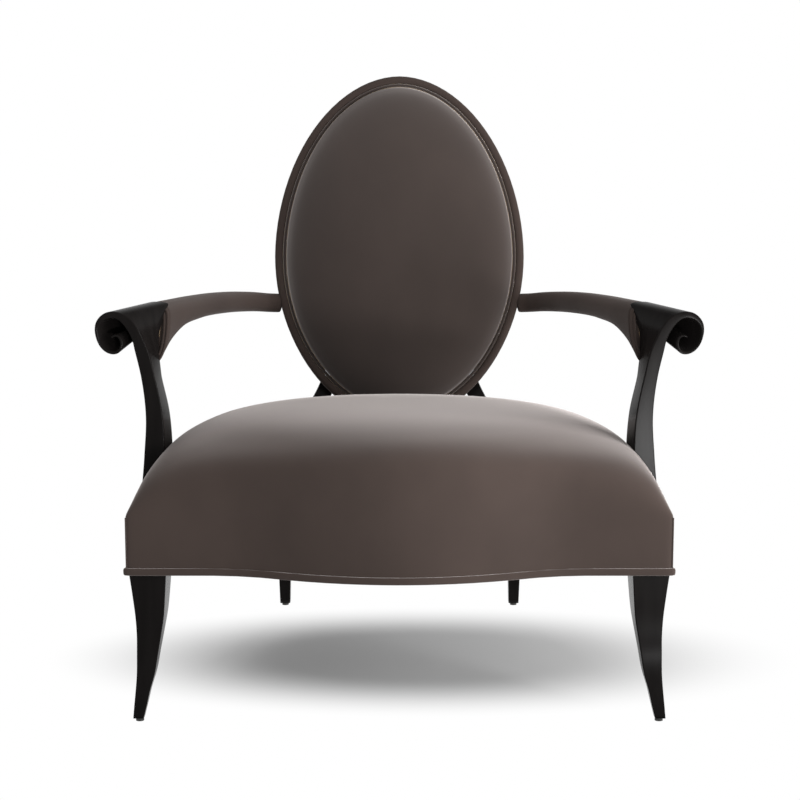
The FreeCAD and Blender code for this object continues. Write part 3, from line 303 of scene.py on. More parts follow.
class ChairStage(bpy.types.PropertyGroup):
    """Camera, lights and floor."""

    lens: bpy.props.FloatProperty(
        name="Lens", description="Focal length on a 36 mm sensor, in millimetres",
        default=78.75, min=20.0, max=200.0)
    camera_height: bpy.props.FloatProperty(
        name="Camera height", description="Height of the camera over the floor",
        default=0.838, min=0.0, max=3.0, unit="LENGTH")
    camera_distance: bpy.props.FloatProperty(
        name="Camera distance", description="From the camera to the middle of the chair",
        default=2.8005, min=1.0, max=8.0, unit="LENGTH")
    camera_tilt: bpy.props.FloatProperty(
        name="Camera tilt", description="How far the camera looks down",
        default=math.radians(8.5), min=0.0, max=1.0, subtype="ANGLE")
    surround: bpy.props.FloatProperty(
        name="Surround light", description="Strength of the even light from all round",
        default=0.5, min=0.0, max=2.0)
    top_power: bpy.props.FloatProperty(
        name="Top light", description="Power of the large lamp above",
        default=14.0, min=0.0, max=500.0, unit="POWER")
    side_power: bpy.props.FloatProperty(
        name="Side light", description="Power of the lamp to the right",
        default=100.0, min=0.0, max=500.0, unit="POWER")
    card_power: bpy.props.FloatProperty(
        name="Low card", description="Power of the narrow card on the floor, which shows in the right post",
        default=110.0, min=0.0, max=200.0, unit="POWER")


# Curves

def fair_value(keys, values, at):
    """The value of a smooth curve through values at their keys."""
    last = len(keys) - 2
    span = 0
    while span < last and at > keys[span + 1]:
        span += 1

    def slope(i):
        before, after = max(i - 1, 0), min(i + 1, len(keys) - 1)
        if before == i or after == i:
            return (values[after] - values[before]) / (keys[after] - keys[before])
        left = (values[i] - values[before]) / (keys[i] - keys[before])
        right = (values[after] - values[i]) / (keys[after] - keys[i])
        left_run, right_run = keys[i] - keys[before], keys[after] - keys[i]
        return (left * right_run + right * left_run) / (left_run + right_run)

    run = keys[span + 1] - keys[span]
    t = (at - keys[span]) / run
    start, end = values[span], values[span + 1]
    return ((2 * t ** 3 - 3 * t ** 2 + 1) * start + (t ** 3 - 2 * t ** 2 + t) * run * slope(span)
            + (3 * t ** 2 - 2 * t ** 3) * end + (t ** 3 - t ** 2) * run * slope(span + 1))


def path_keys(points):
    """Length along a line of points, at each point."""
    keys = [0.0]
    for a, b in zip(points, points[1:]):
        keys.append(keys[-1] + (Vector(b) - Vector(a)).length)
    return keys


def fine_keys(keys, step):
    """The keys with every span divided into parts of about step."""
    fine = []
    for a, b in zip(keys, keys[1:]):
        parts = max(1, math.ceil((b - a) / step))
        fine += [a + (b - a) * i / parts for i in range(parts)]
    return fine + [keys[-1]]


def height_keys(low, high, shares):
    """Heights at shares of the way from low to high."""
    return [low + (high - low) * share for share in shares]


def superellipse(turn, width, height, power):
    """Across and up places on a rounded oblong."""
    c, s = math.cos(turn), math.sin(turn)
    return (math.copysign(abs(c) ** (2 / power), c) * width / 2,
            math.copysign(abs(s) ** (2 / power), s) * height / 2)


# Meshes

def neighbours(loop):
    """Each item of a closed line with the next one."""
    return zip(loop, loop[1:] + loop[:1])


def drawn(bm, points):
    """A closed line of new edges through the points."""
    loop = [bm.verts.new(point) for point in points]
    for pair in neighbours(loop):
        bm.edges.new(pair)
    return loop


def edges_of(bm, loop):
    """The edges of a closed line."""
    return [bm.edges.get(pair) for pair in neighbours(loop)]


def sweep(bm, sections):
    """Extrudes the first closed section to each of the next ones; gives the first and last loops."""
    first = loop = drawn(bm, sections[0])
    for section in sections[1:]:
        made = bmesh.ops.extrude_edge_only(bm, edges=edges_of(bm, loop))["geom"]
        new = {v for v in made if isinstance(v, bmesh.types.BMVert)}
        loop = [next(e.other_vert(v) for e in v.link_edges if e.other_vert(v) in new) for v in loop]
        for vert, point in zip(loop, section):
            vert.co = point
    return first, loop


def close_end(bm, loop):
    """Fills a loop with one face."""
    bmesh.ops.contextual_create(bm, geom=edges_of(bm, loop))


def solid_sweep(sections):
    """A closed mesh through the sections, with flat ends."""
    bm = bmesh.new()
    for loop in sweep(bm, sections):
        close_end(bm, loop)
    return bm


def dome_sweep(sections):
    """A mesh through the sections, the last of which is drawn together into one point."""
    bm = bmesh.new()
    last = sweep(bm, sections)[1]
    bmesh.ops.pointmerge(bm, verts=last, merge_co=sum((v.co for v in last), Vector()) / len(last))
    return bm


def ring_sweep(loops):
    """A closed ring whose long lines are the loops, the last one joined to the first."""
    bm = bmesh.new()
    sweep(bm, loops + loops[:1])
    bmesh.ops.remove_doubles(bm, verts=bm.verts, dist=1e-6)
    return bm


def cord_profile(inset, depth, radius, points=10):
    """Inset and depth of the corners round a cord's section."""
    turns = [2 * math.pi * i / points for i in range(points)]
    return [(inset + radius * math.cos(turn), depth + radius * math.sin(turn)) for turn in turns]


def rounded(corners, radius):
    """A four-cornered section with its corners rounded by three points each."""
    most, cut = 0.4, 0.293
    points = []
    for i, corner in enumerate(corners):
        before = corners[i - 1] - corner
        after = corners[(i + 1) % len(corners)] - corner
        reach = min(radius, before.length * most, after.length * most)
        before, after = before.normalized() * reach, after.normalized() * reach
        points += [corner + before, corner + (before + after) * cut, corner + after]
    return points


def eased(bm, verts):
    """Evens out part of a mesh once."""
    bmesh.ops.smooth_vert(bm, verts=verts, factor=0.5, use_axis_x=True, use_axis_y=True, use_axis_z=True)


def set_side(bm, side):
    """Turns a right-hand mesh into a left-hand one where side is -1."""
    bmesh.ops.scale(bm, vec=(side, 1, 1), verts=bm.verts)


def piece(name, bm, material, nodes, wood=False):
    """Makes the object of a finished mesh, which rides on the chair and stands for CAD nodes."""
    bmesh.ops.recalc_face_normals(bm, faces=bm.faces)
    for face in bm.faces:
        face.smooth = True
    mesh = bpy.data.meshes.new(name)
    bm.to_mesh(mesh)
    bm.free()
    mesh.materials.append(material)
    obj = bpy.data.objects.new(name, mesh)
    bpy.context.scene.collection.objects.link(obj)
    if wood:
        obj.modifiers.new("Flat faces", "WEIGHTED_NORMAL").keep_sharp = True
    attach(obj, "root")
    if nodes:
        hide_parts(*nodes)
    return obj


def soften(obj):
    """Rounds a cover with a subdivision surface."""
    modifier = obj.modifiers.new("Smooth cover", "SUBSURF")
    modifier.levels = modifier.render_levels = 1


# Materials

def node(tree, kind, inputs=None, **settings):
    """A node with its settings and unlinked inputs."""
    made = tree.nodes.new(kind)
    for key, value in settings.items():
        setattr(made, key, value)
    set_inputs(made, inputs or {})
    return made


def set_inputs(made, inputs):
    """Sets a node's unlinked inputs by their names."""
    for key, value in inputs.items():
        made.inputs[key].default_value = value


def new_material(name):
    """A material with its tree and shader, or without them where it is there already."""
    material = bpy.data.materials.get(name)
    if material:
        return material, None, None
    material = bpy.data.materials.new(name)
    material.use_nodes = True
    return material, material.node_tree, material.node_tree.nodes["Principled BSDF"]


def noise(tree, scale, detail, stretch=(1, 1, 1)):
    """Noise on the piece's own coordinates, drawn out by stretch."""
    place = node(tree, "ShaderNodeTexCoord")
    mapping = node(tree, "ShaderNodeMapping", {"Scale": stretch})
    texture = node(tree, "ShaderNodeTexNoise", {"Scale": scale, "Detail": detail})
    tree.links.new(place.outputs["Object"], mapping.inputs["Vector"])
    tree.links.new(mapping.outputs["Vector"], texture.inputs["Vector"])
    return texture


def shaded(tree, texture, low, high, shader):
    """Colours the shader between two colours by a texture."""
    ramp = node(tree, "ShaderNodeValToRGB")
    ramp.color_ramp.elements[0].position, ramp.color_ramp.elements[1].position = 0.3, 0.7
    ramp.color_ramp.elements[0].color = (*low, 1)
    ramp.color_ramp.elements[1].color = (*high, 1)
    tree.links.new(texture.outputs["Fac"], ramp.inputs["Fac"])
    tree.links.new(ramp.outputs["Color"], shader.inputs["Base Color"])


def bumped(tree, texture, strength, distance, shader):
    """Raises the surface by a texture."""
    bump = node(tree, "ShaderNodeBump", {"Strength": strength, "Distance": distance})
    tree.links.new(texture.outputs["Fac"], bump.inputs["Height"])
    tree.links.new(bump.outputs["Normal"], shader.inputs["Normal"])


def scaled(color, share):
    """A colour made darker or lighter."""
    return tuple(c * share for c in color)


def velvet_material(finish, name="taupe_velvet", sheen=1.0, depth=1.0, nap=0.4):
    """Short cut pile: dark face on, pale along the surface, with faint brushed patches."""
    material, tree, shader = new_material(name)
    if tree is None:
        return material
    set_inputs(shader, {"Roughness": 0.95, "Specular IOR Level": 0.12, "Sheen Weight": sheen,
                        "Sheen Roughness": nap, "Sheen Tint": (*finish.velvet_sheen, 1)})
    # depth scales the base colour; below 1 it gives the darker copies of the velvet that paint shade
    shaded(tree, noise(tree, 7.0, 4.0, (1, 1, 0.7)), scaled(finish.velvet, 0.88 * depth),
           scaled(finish.velvet, 1.12 * depth), shader)
    bumped(tree, noise(tree, 900.0, 3.0), 0.25, 0.0004, shader)
    return material


def shaded_velvet(finish):
    """The same velvet with its base darkened to 0.75 and its sheen cut to 0.15: a shaded copy that paints shade
    onto the pads, the border and their welts.
    """
    return velvet_material(finish, "shaded_arm_velvet", sheen=0.15, depth=0.75)


def lacquer_material(finish):
    """Polished black lacquer over a close-grained wood."""
    material, tree, shader = new_material("polished_lacquer")
    if tree is None:
        return material
    set_inputs(shader, {"Roughness": 0.2, "IOR": 1.2, "Specular IOR Level": 0.16})
    shaded(tree, noise(tree, 60.0, 4.0, (1, 1, 0.12)), finish.lacquer, scaled(finish.lacquer, 1.6), shader)
    bumped(tree, noise(tree, 160.0, 2.0, (1, 1, 0.1)), 0.03, 0.0002, shader)
    return material


def hardwood_material(finish):
    """Planed beech with short darker flecks."""
    material, tree, shader = new_material("bare_hardwood")
    if tree is None:
        return material
    shader.inputs["Roughness"].default_value = 0.6
    grain = noise(tree, 90.0, 5.0, (0.15, 1, 1))
    shaded(tree, grain, scaled(finish.hardwood, 0.75), finish.hardwood, shader)
    bumped(tree, grain, 0.1, 0.0003, shader)
    return material


def cloth_material(name, color, threads):
    """A plain woven cloth; threads per metre."""
    material, tree, shader = new_material(name)
    if tree is None:
        return material
    shader.inputs["Roughness"].default_value = 0.9
    place = node(tree, "ShaderNodeTexCoord")
    weave = node(tree, "ShaderNodeTexChecker",
                 {"Scale": threads, "Color1": (*color, 1), "Color2": (*scaled(color, 0.7), 1)})
    tree.links.new(place.outputs["Object"], weave.inputs["Vector"])
    tree.links.new(weave.outputs["Color"], shader.inputs["Base Color"])
    bumped(tree, weave, 0.3, 0.0003, shader)
    return material


def foam_material():
    """Open-cell foam."""
    material, tree, shader = new_material("open_foam")
    if tree is None:
        return material
    shader.inputs["Roughness"].default_value = 0.95
    cells = noise(tree, 700.0, 2.0)
    shaded(tree, cells, FOAM_LOW, FOAM_HIGH, shader)
    bumped(tree, cells, 0.4, 0.0006, shader)
    return material


def steel_material(name, color, roughness):
    """Plated steel with fine wear."""
    material, tree, shader = new_material(name)
    if tree is None:
        return material
    set_inputs(shader, {"Metallic": 1.0, "Roughness": roughness})
    wear = noise(tree, 300.0, 3.0)
    shaded(tree, wear, scaled(color, 0.85), color, shader)
    bumped(tree, wear, 0.05, 0.0002, shader)
    return material


# Seat

def plan_turns():
    """Directions round the seat's plan, drawn together at its corners."""
    shares = [i / PLAN_STEPS for i in range(4 * PLAN_STEPS)]
    return [math.pi / 2 * (t - CORNER_DRAW * math.sin(4 * math.pi * t) / (4 * math.pi)) for t in shares]


def bow_out(form, x):
    """How far the serpentine front stands out at x, as a share of its bow."""
    along = abs(x) / (form.seat_front_half * BOW_SHARE)
    if along < 1 - BOW_HOLLOW:
        return 1 - along ** 2 / (1 - BOW_HOLLOW)
    return max(0.0, 1 - along) ** 2 / BOW_HOLLOW


def seat_plan(form, inset, z, shares=(1.0, 1.0, 1.0), corner=SQUARE_CORNER):
    """The seat's outline at one level: a serpentine front and straight sides that run in."""
    front_share, side_share, rear_share = shares
    front, rear = SEAT_BOX[0].y + form.seat_bow, SEAT_BOX[1].y
    slope = (form.seat_front_half - form.seat_rear_half) / (rear - front)
    middle = front + (rear - front) * CROWN_PLACE
    loop = []
    for turn in plan_turns():
        across, along = math.cos(turn), math.sin(turn)
        longer = max(abs(across), abs(along))
        spread = (abs(across) / longer) ** corner + (abs(along) / longer) ** corner
        u, v = [value / longer / spread ** (1 / corner) for value in (across, along)]
        if v < 0:
            y = middle + (middle - front - inset) * front_share * v
        else:
            y = middle + (rear - inset - middle) * rear_share * v
        half = form.seat_front_half - (y - front) * slope - inset / math.cos(math.atan(slope))
        x = u * half * side_share
        loop.append(Vector((x, y + min(0.0, v) * bow_out(form, x) * form.seat_bow * front_share, z)))
    return loop


def crown_share(z, shoulder, crown, power):
    """How much of its reach the crowned top keeps at height z."""
    climb = max(0.0, (z - shoulder) / (crown - shoulder))
    return (1 - climb ** power) ** (1 / power)


def crown_loops(form):
    """Outlines from the shoulder up to the crown."""
    low, crown = form.seat_shoulder, form.seat_crown
    loops = []
    for i in range(CROWN_LEVELS):
        climb = math.sin(CROWN_CLIMB * i / (CROWN_LEVELS - 1))
        z = low + (crown - low) * climb
        shares = [crown_share(z, low + rise, crown, power) for rise, power in zip(WALL_RISES, CROWN_POWERS)]
        corner = 2 ** fair_value(CORNER_HEIGHTS, CORNER_DOUBLINGS, climb)
        loops.append(seat_plan(form, 0.0, z, shares, corner))
    return loops


def seat_mesh(form):
    """The seat cover: turned in at the hem, upright walls and the crowned top."""
    hem = SEAT_BOX[0].z
    turned_in = [seat_plan(form, TURN_IN, hem + TURN_IN), seat_plan(form, TURN_IN, hem)]
    walls = [seat_plan(form, 0.0, hem + (form.seat_shoulder - hem) * i / WALL_LEVELS) for i in range(WALL_LEVELS)]
    bm = dome_sweep(turned_in + walls + crown_loops(form))
    crown = [v for v in bm.verts if v.co.z > form.seat_shoulder + 0.004]
    for _ in range(CROWN_EASINGS):
        eased(bm, crown)
    return bm


def corner_seam_mesh(form, side):
    """The seam up a front corner of the seat."""
    hem = SEAT_BOX[0].z
    corner = (6 + side) * PLAN_STEPS // 2
    path = [seat_plan(form, 0.0, hem + (form.seat_shoulder - SEAM_END - hem) * i / SEAM_LEVELS)[corner]
            for i in range(SEAM_LEVELS + 1)]
    turns = [2 * math.pi / SEAM_SIDES * i for i in range(SEAM_SIDES)]
    return solid_sweep([[point + Vector((SEAM_RADIUS * math.cos(turn), SEAM_RADIUS * math.sin(turn), 0))
                         for turn in turns] for point in path])


class ARMCHAIR_OT_seat(bpy.types.Operator):
    """Model the crowned seat cover, its corner seams, its hem band and the cloth under the seat"""

    bl_idname = "armchair.seat"
    bl_label = "Seat"

    def execute(self, context):
        form, finish = context.scene.armchair_form, context.scene.armchair_finish
        velvet = velvet_material(finish)
        seat = piece("seat_cover_velvet", seat_mesh(form), velvet, ["seat_cover", "seat_foam"])
        soften(seat)
        for side, name in SIDES:
            piece("seat_corner_seam_" + name, corner_seam_mesh(form, side), velvet, [])
        band = ring_sweep([seat_plan(form, inset, SEAT_BOX[0].z + up) for inset, up in HEM_PROFILE])
        piece("seat_hem_band", band, velvet, ["seat_hem_welt"])
        self.dust_cloth(form)
        return {"FINISHED"}

    def dust_cloth(self, form):
        """The thin black cloth stretched under the seat's rails."""
        low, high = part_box("dust_cover")
        bm = bmesh.new()
        close_end(bm, drawn(bm, seat_plan(form, DUST_INSET, low.z)))
        area = sum(face.calc_area() for face in bm.faces)
        bmesh.ops.solidify(bm, geom=bm.faces[:], thickness=-(high.z - low.z) / 2)
        black = cloth_material("black_dust_cloth", BLACK_CLOTH, BLACK_THREADS)
        cloth = piece("dust_cloth", bm, black, ["dust_cover"])


# Back

def back_frame(form):
    """The matrix that leans an upright piece and sets it in the chair."""
    high = BACK_BOX[1]
    rise = high.z - OVAL_MIDDLE
    middle_y = high.y - BACK_DEPTH * math.cos(form.back_lean) - rise * math.tan(form.back_lean) * LEAN_SHARE
    return Matrix.Translation((0, middle_y, OVAL_MIDDLE)) @ Matrix.Rotation(-form.back_lean, 4, "X")


def oval(form, inset, depth, share=1.0):
    """The back's outline in its own upright plane."""
    loop = []
    for i in range(OVAL_POINTS):
        turn = 2 * math.pi * i / OVAL_POINTS
        height = (OVAL_UPPER if math.sin(turn) >= 0 else OVAL_LOWER) - inset
        x, z = superellipse(turn, 2 * (form.back_half_width - inset), 2 * height, OVAL_POWER)
        loop.append(Vector((x * share, depth, z * share)))
    return loop


def panel_mesh(form):
    """The crowned panel of the inside back, upright."""
    loops = [oval(form, PANEL_INSET, 2 * PANEL_EDGE)]
    for i in range(PANEL_LEVELS):
        angle = PANEL_CLIMB * i / (PANEL_LEVELS - 1)
        rise = math.sin(angle) ** (2 / PANEL_POWER)
        loops.append(oval(form, PANEL_INSET, PANEL_EDGE - (form.back_crown + PANEL_EDGE) * rise,
                          math.cos(angle) ** (2 / PANEL_POWER)))
    bm = dome_sweep(loops)
    for _ in range(PANEL_EASINGS):
        eased(bm, [v for v in bm.verts if v.co.y < -0.01])
    return bm


def board_mesh(form):
    """The outside back over its board, upright."""
    loops = [oval(form, BOARD_INSET, BOARD_FRONT), oval(form, BOARD_INSET, BOARD_REAR)]
    for i in range(1, BOARD_LEVELS + 1):
        loops.append(oval(form, BOARD_INSET, BOARD_REAR + BOARD_SWELL * math.sin(math.pi / 2 * i / BOARD_LEVELS),
                          math.cos(math.pi / 2 * i / (BOARD_LEVELS + 0.2))))
    return dome_sweep(loops)


class ARMCHAIR_OT_back(bpy.types.Operator):
    """Model the oval back: crowned inside panel, welts, border band and outside back"""

    bl_idname = "armchair.back"
    bl_label = "Back"

    def execute(self, context):
        form, finish = context.scene.armchair_form, context.scene.armchair_finish
        # The back's velvet is the seat's velvet with its base darkened to 0.62: painted shade, a darker copy for
        # the inside and outside back and the inside welt
        velvet = velvet_material(finish, "back_velvet", sheen=1.0, depth=0.62, nap=0.45)
        # The border band and the outside welt take the darker shaded copy of the velvet: painted shade
        shaded_band_velvet = shaded_velvet(finish)
        panel = self.leaned(form, "inside_back_velvet", panel_mesh(form), velvet,
                            ["inside_back_cover", "back_foam"])
        soften(panel)
        inside_welt = cord_profile(*INSIDE_WELT, form.welt_radius)
        outside_welt = cord_profile(*OUTSIDE_WELT, OUTSIDE_WELT_RADIUS)
        for name, profile, cloth, replaced in (
                ("back_border_velvet", BORDER_PROFILE, shaded_band_velvet, "back_border"),
                ("inside_back_welt_ring", inside_welt, velvet, "inside_back_welt"),
                ("outside_back_welt_ring", outside_welt, shaded_band_velvet, "outside_back_welt")):
            ring = ring_sweep([oval(form, inset, depth) for inset, depth in profile])
            self.leaned(form, name, ring, cloth, [replaced])
        self.leaned(form, "outside_back_velvet", board_mesh(form), velvet, ["outside_back_cover"])
        return {"FINISHED"}

    def leaned(self, form, name, bm, cloth, nodes):
        """Leans an upright mesh, sets it in the chair and makes it a piece."""
        bmesh.ops.transform(bm, matrix=back_frame(form), verts=bm.verts)
        return piece(name, bm, cloth, nodes)


# Arms

def seam_y(z):
    """Depth of the seam plane between the post and the arm pad at height z."""
    return POST_BOX[0].y + SEAM_BACK + (z - SEAM_HEIGHT) / SEAM_LEAN


def arm_stations():
    """Keys along the right arm, and a function that gives the section's place and form at a key."""
    front = Vector((ARM_FRONT_X, seam_y(ARM_FRONT_Z), ARM_FRONT_Z))
    places = [front + Vector((-ARM_INWARD * inward, ARM_LENGTH * along, -ARM_FALL * drop))
              for along, inward, drop in zip(ARM_ALONG, ARM_SWEEP, ARM_DROP)]
    keys = path_keys(places)

    def at(key):
        place = Vector([fair_value(keys, [p[i] for p in places], key) for i in range(3)])
        turn = ARM_ANGLE * fair_value(keys, ARM_TURN, key)
        narrow = fair_value(keys, ARM_NARROW, key)
        width, height = ARM_WIDTH - ARM_WIDTH_LOSS * narrow, ARM_HEIGHT - ARM_HEIGHT_LOSS * narrow
        bracket = max(0.0, fair_value(keys, ARM_BRACKET, key))
        return place, turn, bracket / SEAM_LEAN, width, height, BRACKET_DROP * bracket

    return keys, at


def arm_loop(station, proud=0.0):
    """The arm's section at a station, made larger by proud."""
    place, turn, lean, width, height, drop = station
    across = Vector((math.cos(turn), math.sin(turn), 0))
    loop = []
    for i in range(ARM_POINTS):
        angle = 2 * math.pi * i / ARM_POINTS
        u, v = superellipse(angle, width + 2 * proud, height + 2 * proud, ARM_POWER)
        if v < 0:
            v -= drop * abs(math.sin(angle)) ** BRACKET_POINT
            u -= drop * BRACKET_INWARD * abs(math.sin(angle))
        loop.append(place + across * u + Vector((0, v * lean, v)))
    return loop


def double_welt_mesh(form, front):
    """The two cords on the pad's front end."""
    bm = bmesh.new()
    for inset in CORD_INSETS:
        cord = ring_sweep([[point + Vector((0, along, 0)) for point in arm_loop(front, proud)]
                           for proud, along in cord_profile(-inset, CORD_DEPTH, form.welt_radius)])
        mesh = bpy.data.meshes.new("cord")
        cord.to_mesh(mesh)
        cord.free()
        bm.from_mesh(mesh)
        bpy.data.meshes.remove(mesh)
    return bm


class ARMCHAIR_OT_arms(bpy.types.Operator):
    """Model the arm pads with their double welts"""

    bl_idname = "armchair.arms"
    bl_label = "Arms"

    def execute(self, context):
        form, finish = context.scene.armchair_form, context.scene.armchair_finish
        # The pads and their double welts take the darker shaded copy of the velvet: painted shade
        velvet = shaded_velvet(finish)
        keys, at = arm_stations()
        for side, name in SIDES:
            bm = solid_sweep([arm_loop(at(key)) for key in fine_keys(keys, ARM_STEP)])
            set_side(bm, side)
            pad = piece("arm_pad_" + name, bm, velvet, ["arm_cover_" + name, "arm_padding_" + name])
            soften(pad)
            bm = double_welt_mesh(form, at(0.0))
            set_side(bm, side)
            piece("arm_double_welt_" + name, bm, velvet, ["arm_front_welt_" + name])
        return {"FINISHED"}


# Wood

def post_rails():
    """The post's four long edges as smooth lines in step with each other."""
    foot = POST_BOX[0].z
    lines = []
    for shaft, shoulder, quarters in POST_EDGES.values():
        shares = list(zip(shaft, SHAFT_HEIGHTS)) + list(shoulder)
        line = [(POST_INNER + x * POST_REACH, foot + z * POST_RISE) for x, z in shares]
        for i, (wide, high) in enumerate(quarters):
            x, z = line[-1]
            width, height = wide * ROLL_SIZE, high * ROLL_SIZE
            for step in range(1, ROLL_STEPS + 1):
                turn = math.pi / 2 * step / ROLL_STEPS
                along, fall = math.sin(turn), 1 - math.cos(turn)
                across, down = ((along * width, fall * height), (-fall * width, along * height),
                                (-along * width, -fall * height), (fall * width, -along * height))[i % 4]
                line.append((x + across, z - down))
        lines.append(line)
    keys = path_keys([(x, 0, z) for x, z in lines[0]])
    fine = fine_keys(keys, POST_STEP)
    return [[(fair_value(keys, [p[0] for p in line], key), fair_value(keys, [p[1] for p in line], key))
             for key in fine] for line in lines]


def post_sections(form):
    """Rounded sections of the right post from its foot to the end of its roll."""
    front = POST_BOX[0].y
    sections = []
    for a, b, c, d in zip(*post_rails()):
        corners = [Vector((x, front, z)) for x, z in (a, b)]
        corners += [Vector((x, max(front + POST_DEPTH, seam_y(z)), z)) for x, z in (c, d)]
        sections.append(rounded(corners, form.arris))
    return sections


def show_wood(kind, sections, lacquer):
    """A right and a left piece of lacquered wood."""
    for side, name in SIDES:
        bm = solid_sweep(sections)
        set_side(bm, side)
        piece(f"{kind}_lacquer_{name}", bm, lacquer, [f"{kind}_{name}"], wood=True)


class ARMCHAIR_OT_posts(bpy.types.Operator):
    """Model the lacquered arm posts, each rolled outward into a volute"""

    bl_idname = "armchair.posts"
    bl_label = "Arm posts"

    def execute(self, context):
        form, finish = context.scene.armchair_form, context.scene.armchair_finish
        show_wood("arm_post", post_sections(form), lacquer_material(finish))
        return {"FINISHED"}


def front_leg_sections(form):
    """Rounded sections of the right front leg from the foot to the seat."""
    outer, front = LEG_BOX[1].x, LEG_BOX[0].y + LEG_KICK
    slope = (form.seat_front_half - form.seat_rear_half) / (SEAT_BOX[1].y - SEAT_BOX[0].y - form.seat_bow)
    keys = height_keys(LEG_BOX[0].z, SEAT_BOX[0].z + LEG_LET_IN, LEG_HEIGHTS)
    sections = []
    for z in fine_keys(keys, LEG_STEP):
        width = LEG_WIDTH * fair_value(keys, LEG_WIDTHS, z)
        depth = LEG_DEPTH * fair_value(keys, LEG_DEPTHS, z)
        x = outer - LEG_WAIST * fair_value(keys, LEG_WAISTS, z)
        y = front - LEG_KICK * fair_value(keys, LEG_FORWARDS, z)
        corners = [Vector((x - width, y, z)), Vector((x, y, z)), Vector((x - depth * slope, y + depth, z)),
                   Vector((x - width, y + depth, z))]
        sections.append(rounded(corners, form.arris))
    return sections


def rear_leg_sections(form):
    """Rounded sections of the right rear leg from the foot to behind the oval."""
    front = SEAT_BOX[1].y - REAR_LET_IN
    keys = height_keys(REAR_LEG_BOX[0].z, REAR_LEG_BOX[1].z, REAR_HEIGHTS)
    sections = []
    for z in fine_keys(keys, REAR_STEP):
        x = REAR_INNER + REAR_SPREAD * fair_value(keys, REAR_SPREADS, z)
        y = front + REAR_RAKE * fair_value(keys, REAR_RAKES, z)
        width = REAR_WIDTH * fair_value(keys, REAR_WIDTHS, z) / 2
        depth = REAR_DEPTH * fair_value(keys, REAR_DEPTHS, z) / 2
        corners = [Vector((x - width, y - depth, z)), Vector((x + width, y - depth, z)),
                   Vector((x + width, y + depth, z)), Vector((x - width, y + depth, z))]
        sections.append(rounded(corners, form.arris))
    return sections


class ARMCHAIR_OT_legs(bpy.types.Operator):
    """Model the lacquered sabre legs"""

    bl_idname = "armchair.legs"
    bl_label = "Legs"

    def execute(self, context):
        form, finish = context.scene.armchair_form, context.scene.armchair_finish
        show_wood("front_leg", front_leg_sections(form), lacquer_material(finish))
        show_wood("rear_leg", rear_leg_sections(form), lacquer_material(finish))
        return {"FINISHED"}


class ARMCHAIR_OT_inside(bpy.types.Operator):
    """Finish the frame, webbing and fasteners inside the chair, and the glides"""

    bl_idname = "armchair.inside"
    bl_label = "Inside and glides"

    def execute(self, context):
        finish = context.scene.armchair_finish
        materials = {
            "hardwood": hardwood_material(finish),
            "foam": foam_material(),
            "webbing": cloth_material("jute_webbing", JUTE, 500.0),
            "hessian": cloth_material("hessian_weave", HESSIAN, 700.0),
            "dust_cloth": cloth_material("black_dust_cloth", BLACK_CLOTH, BLACK_THREADS),
            "fastener_steel": steel_material("zinc_plate", ZINC, 0.4),
            "glide_nickel": steel_material("black_nickel", NICKEL, 0.45),
            "velvet": velvet_material(finish),
            "black_lacquer": lacquer_material(finish),
        }
        slots = {s["node"]: s["material_slot"] for s in frame["record"]["subparts"]}
        for name, obj in frame["nodes"].items():
            for slot in obj.material_slots:
                slot.material = materials[slots[name]]
        return {"FINISHED"}


# Stage

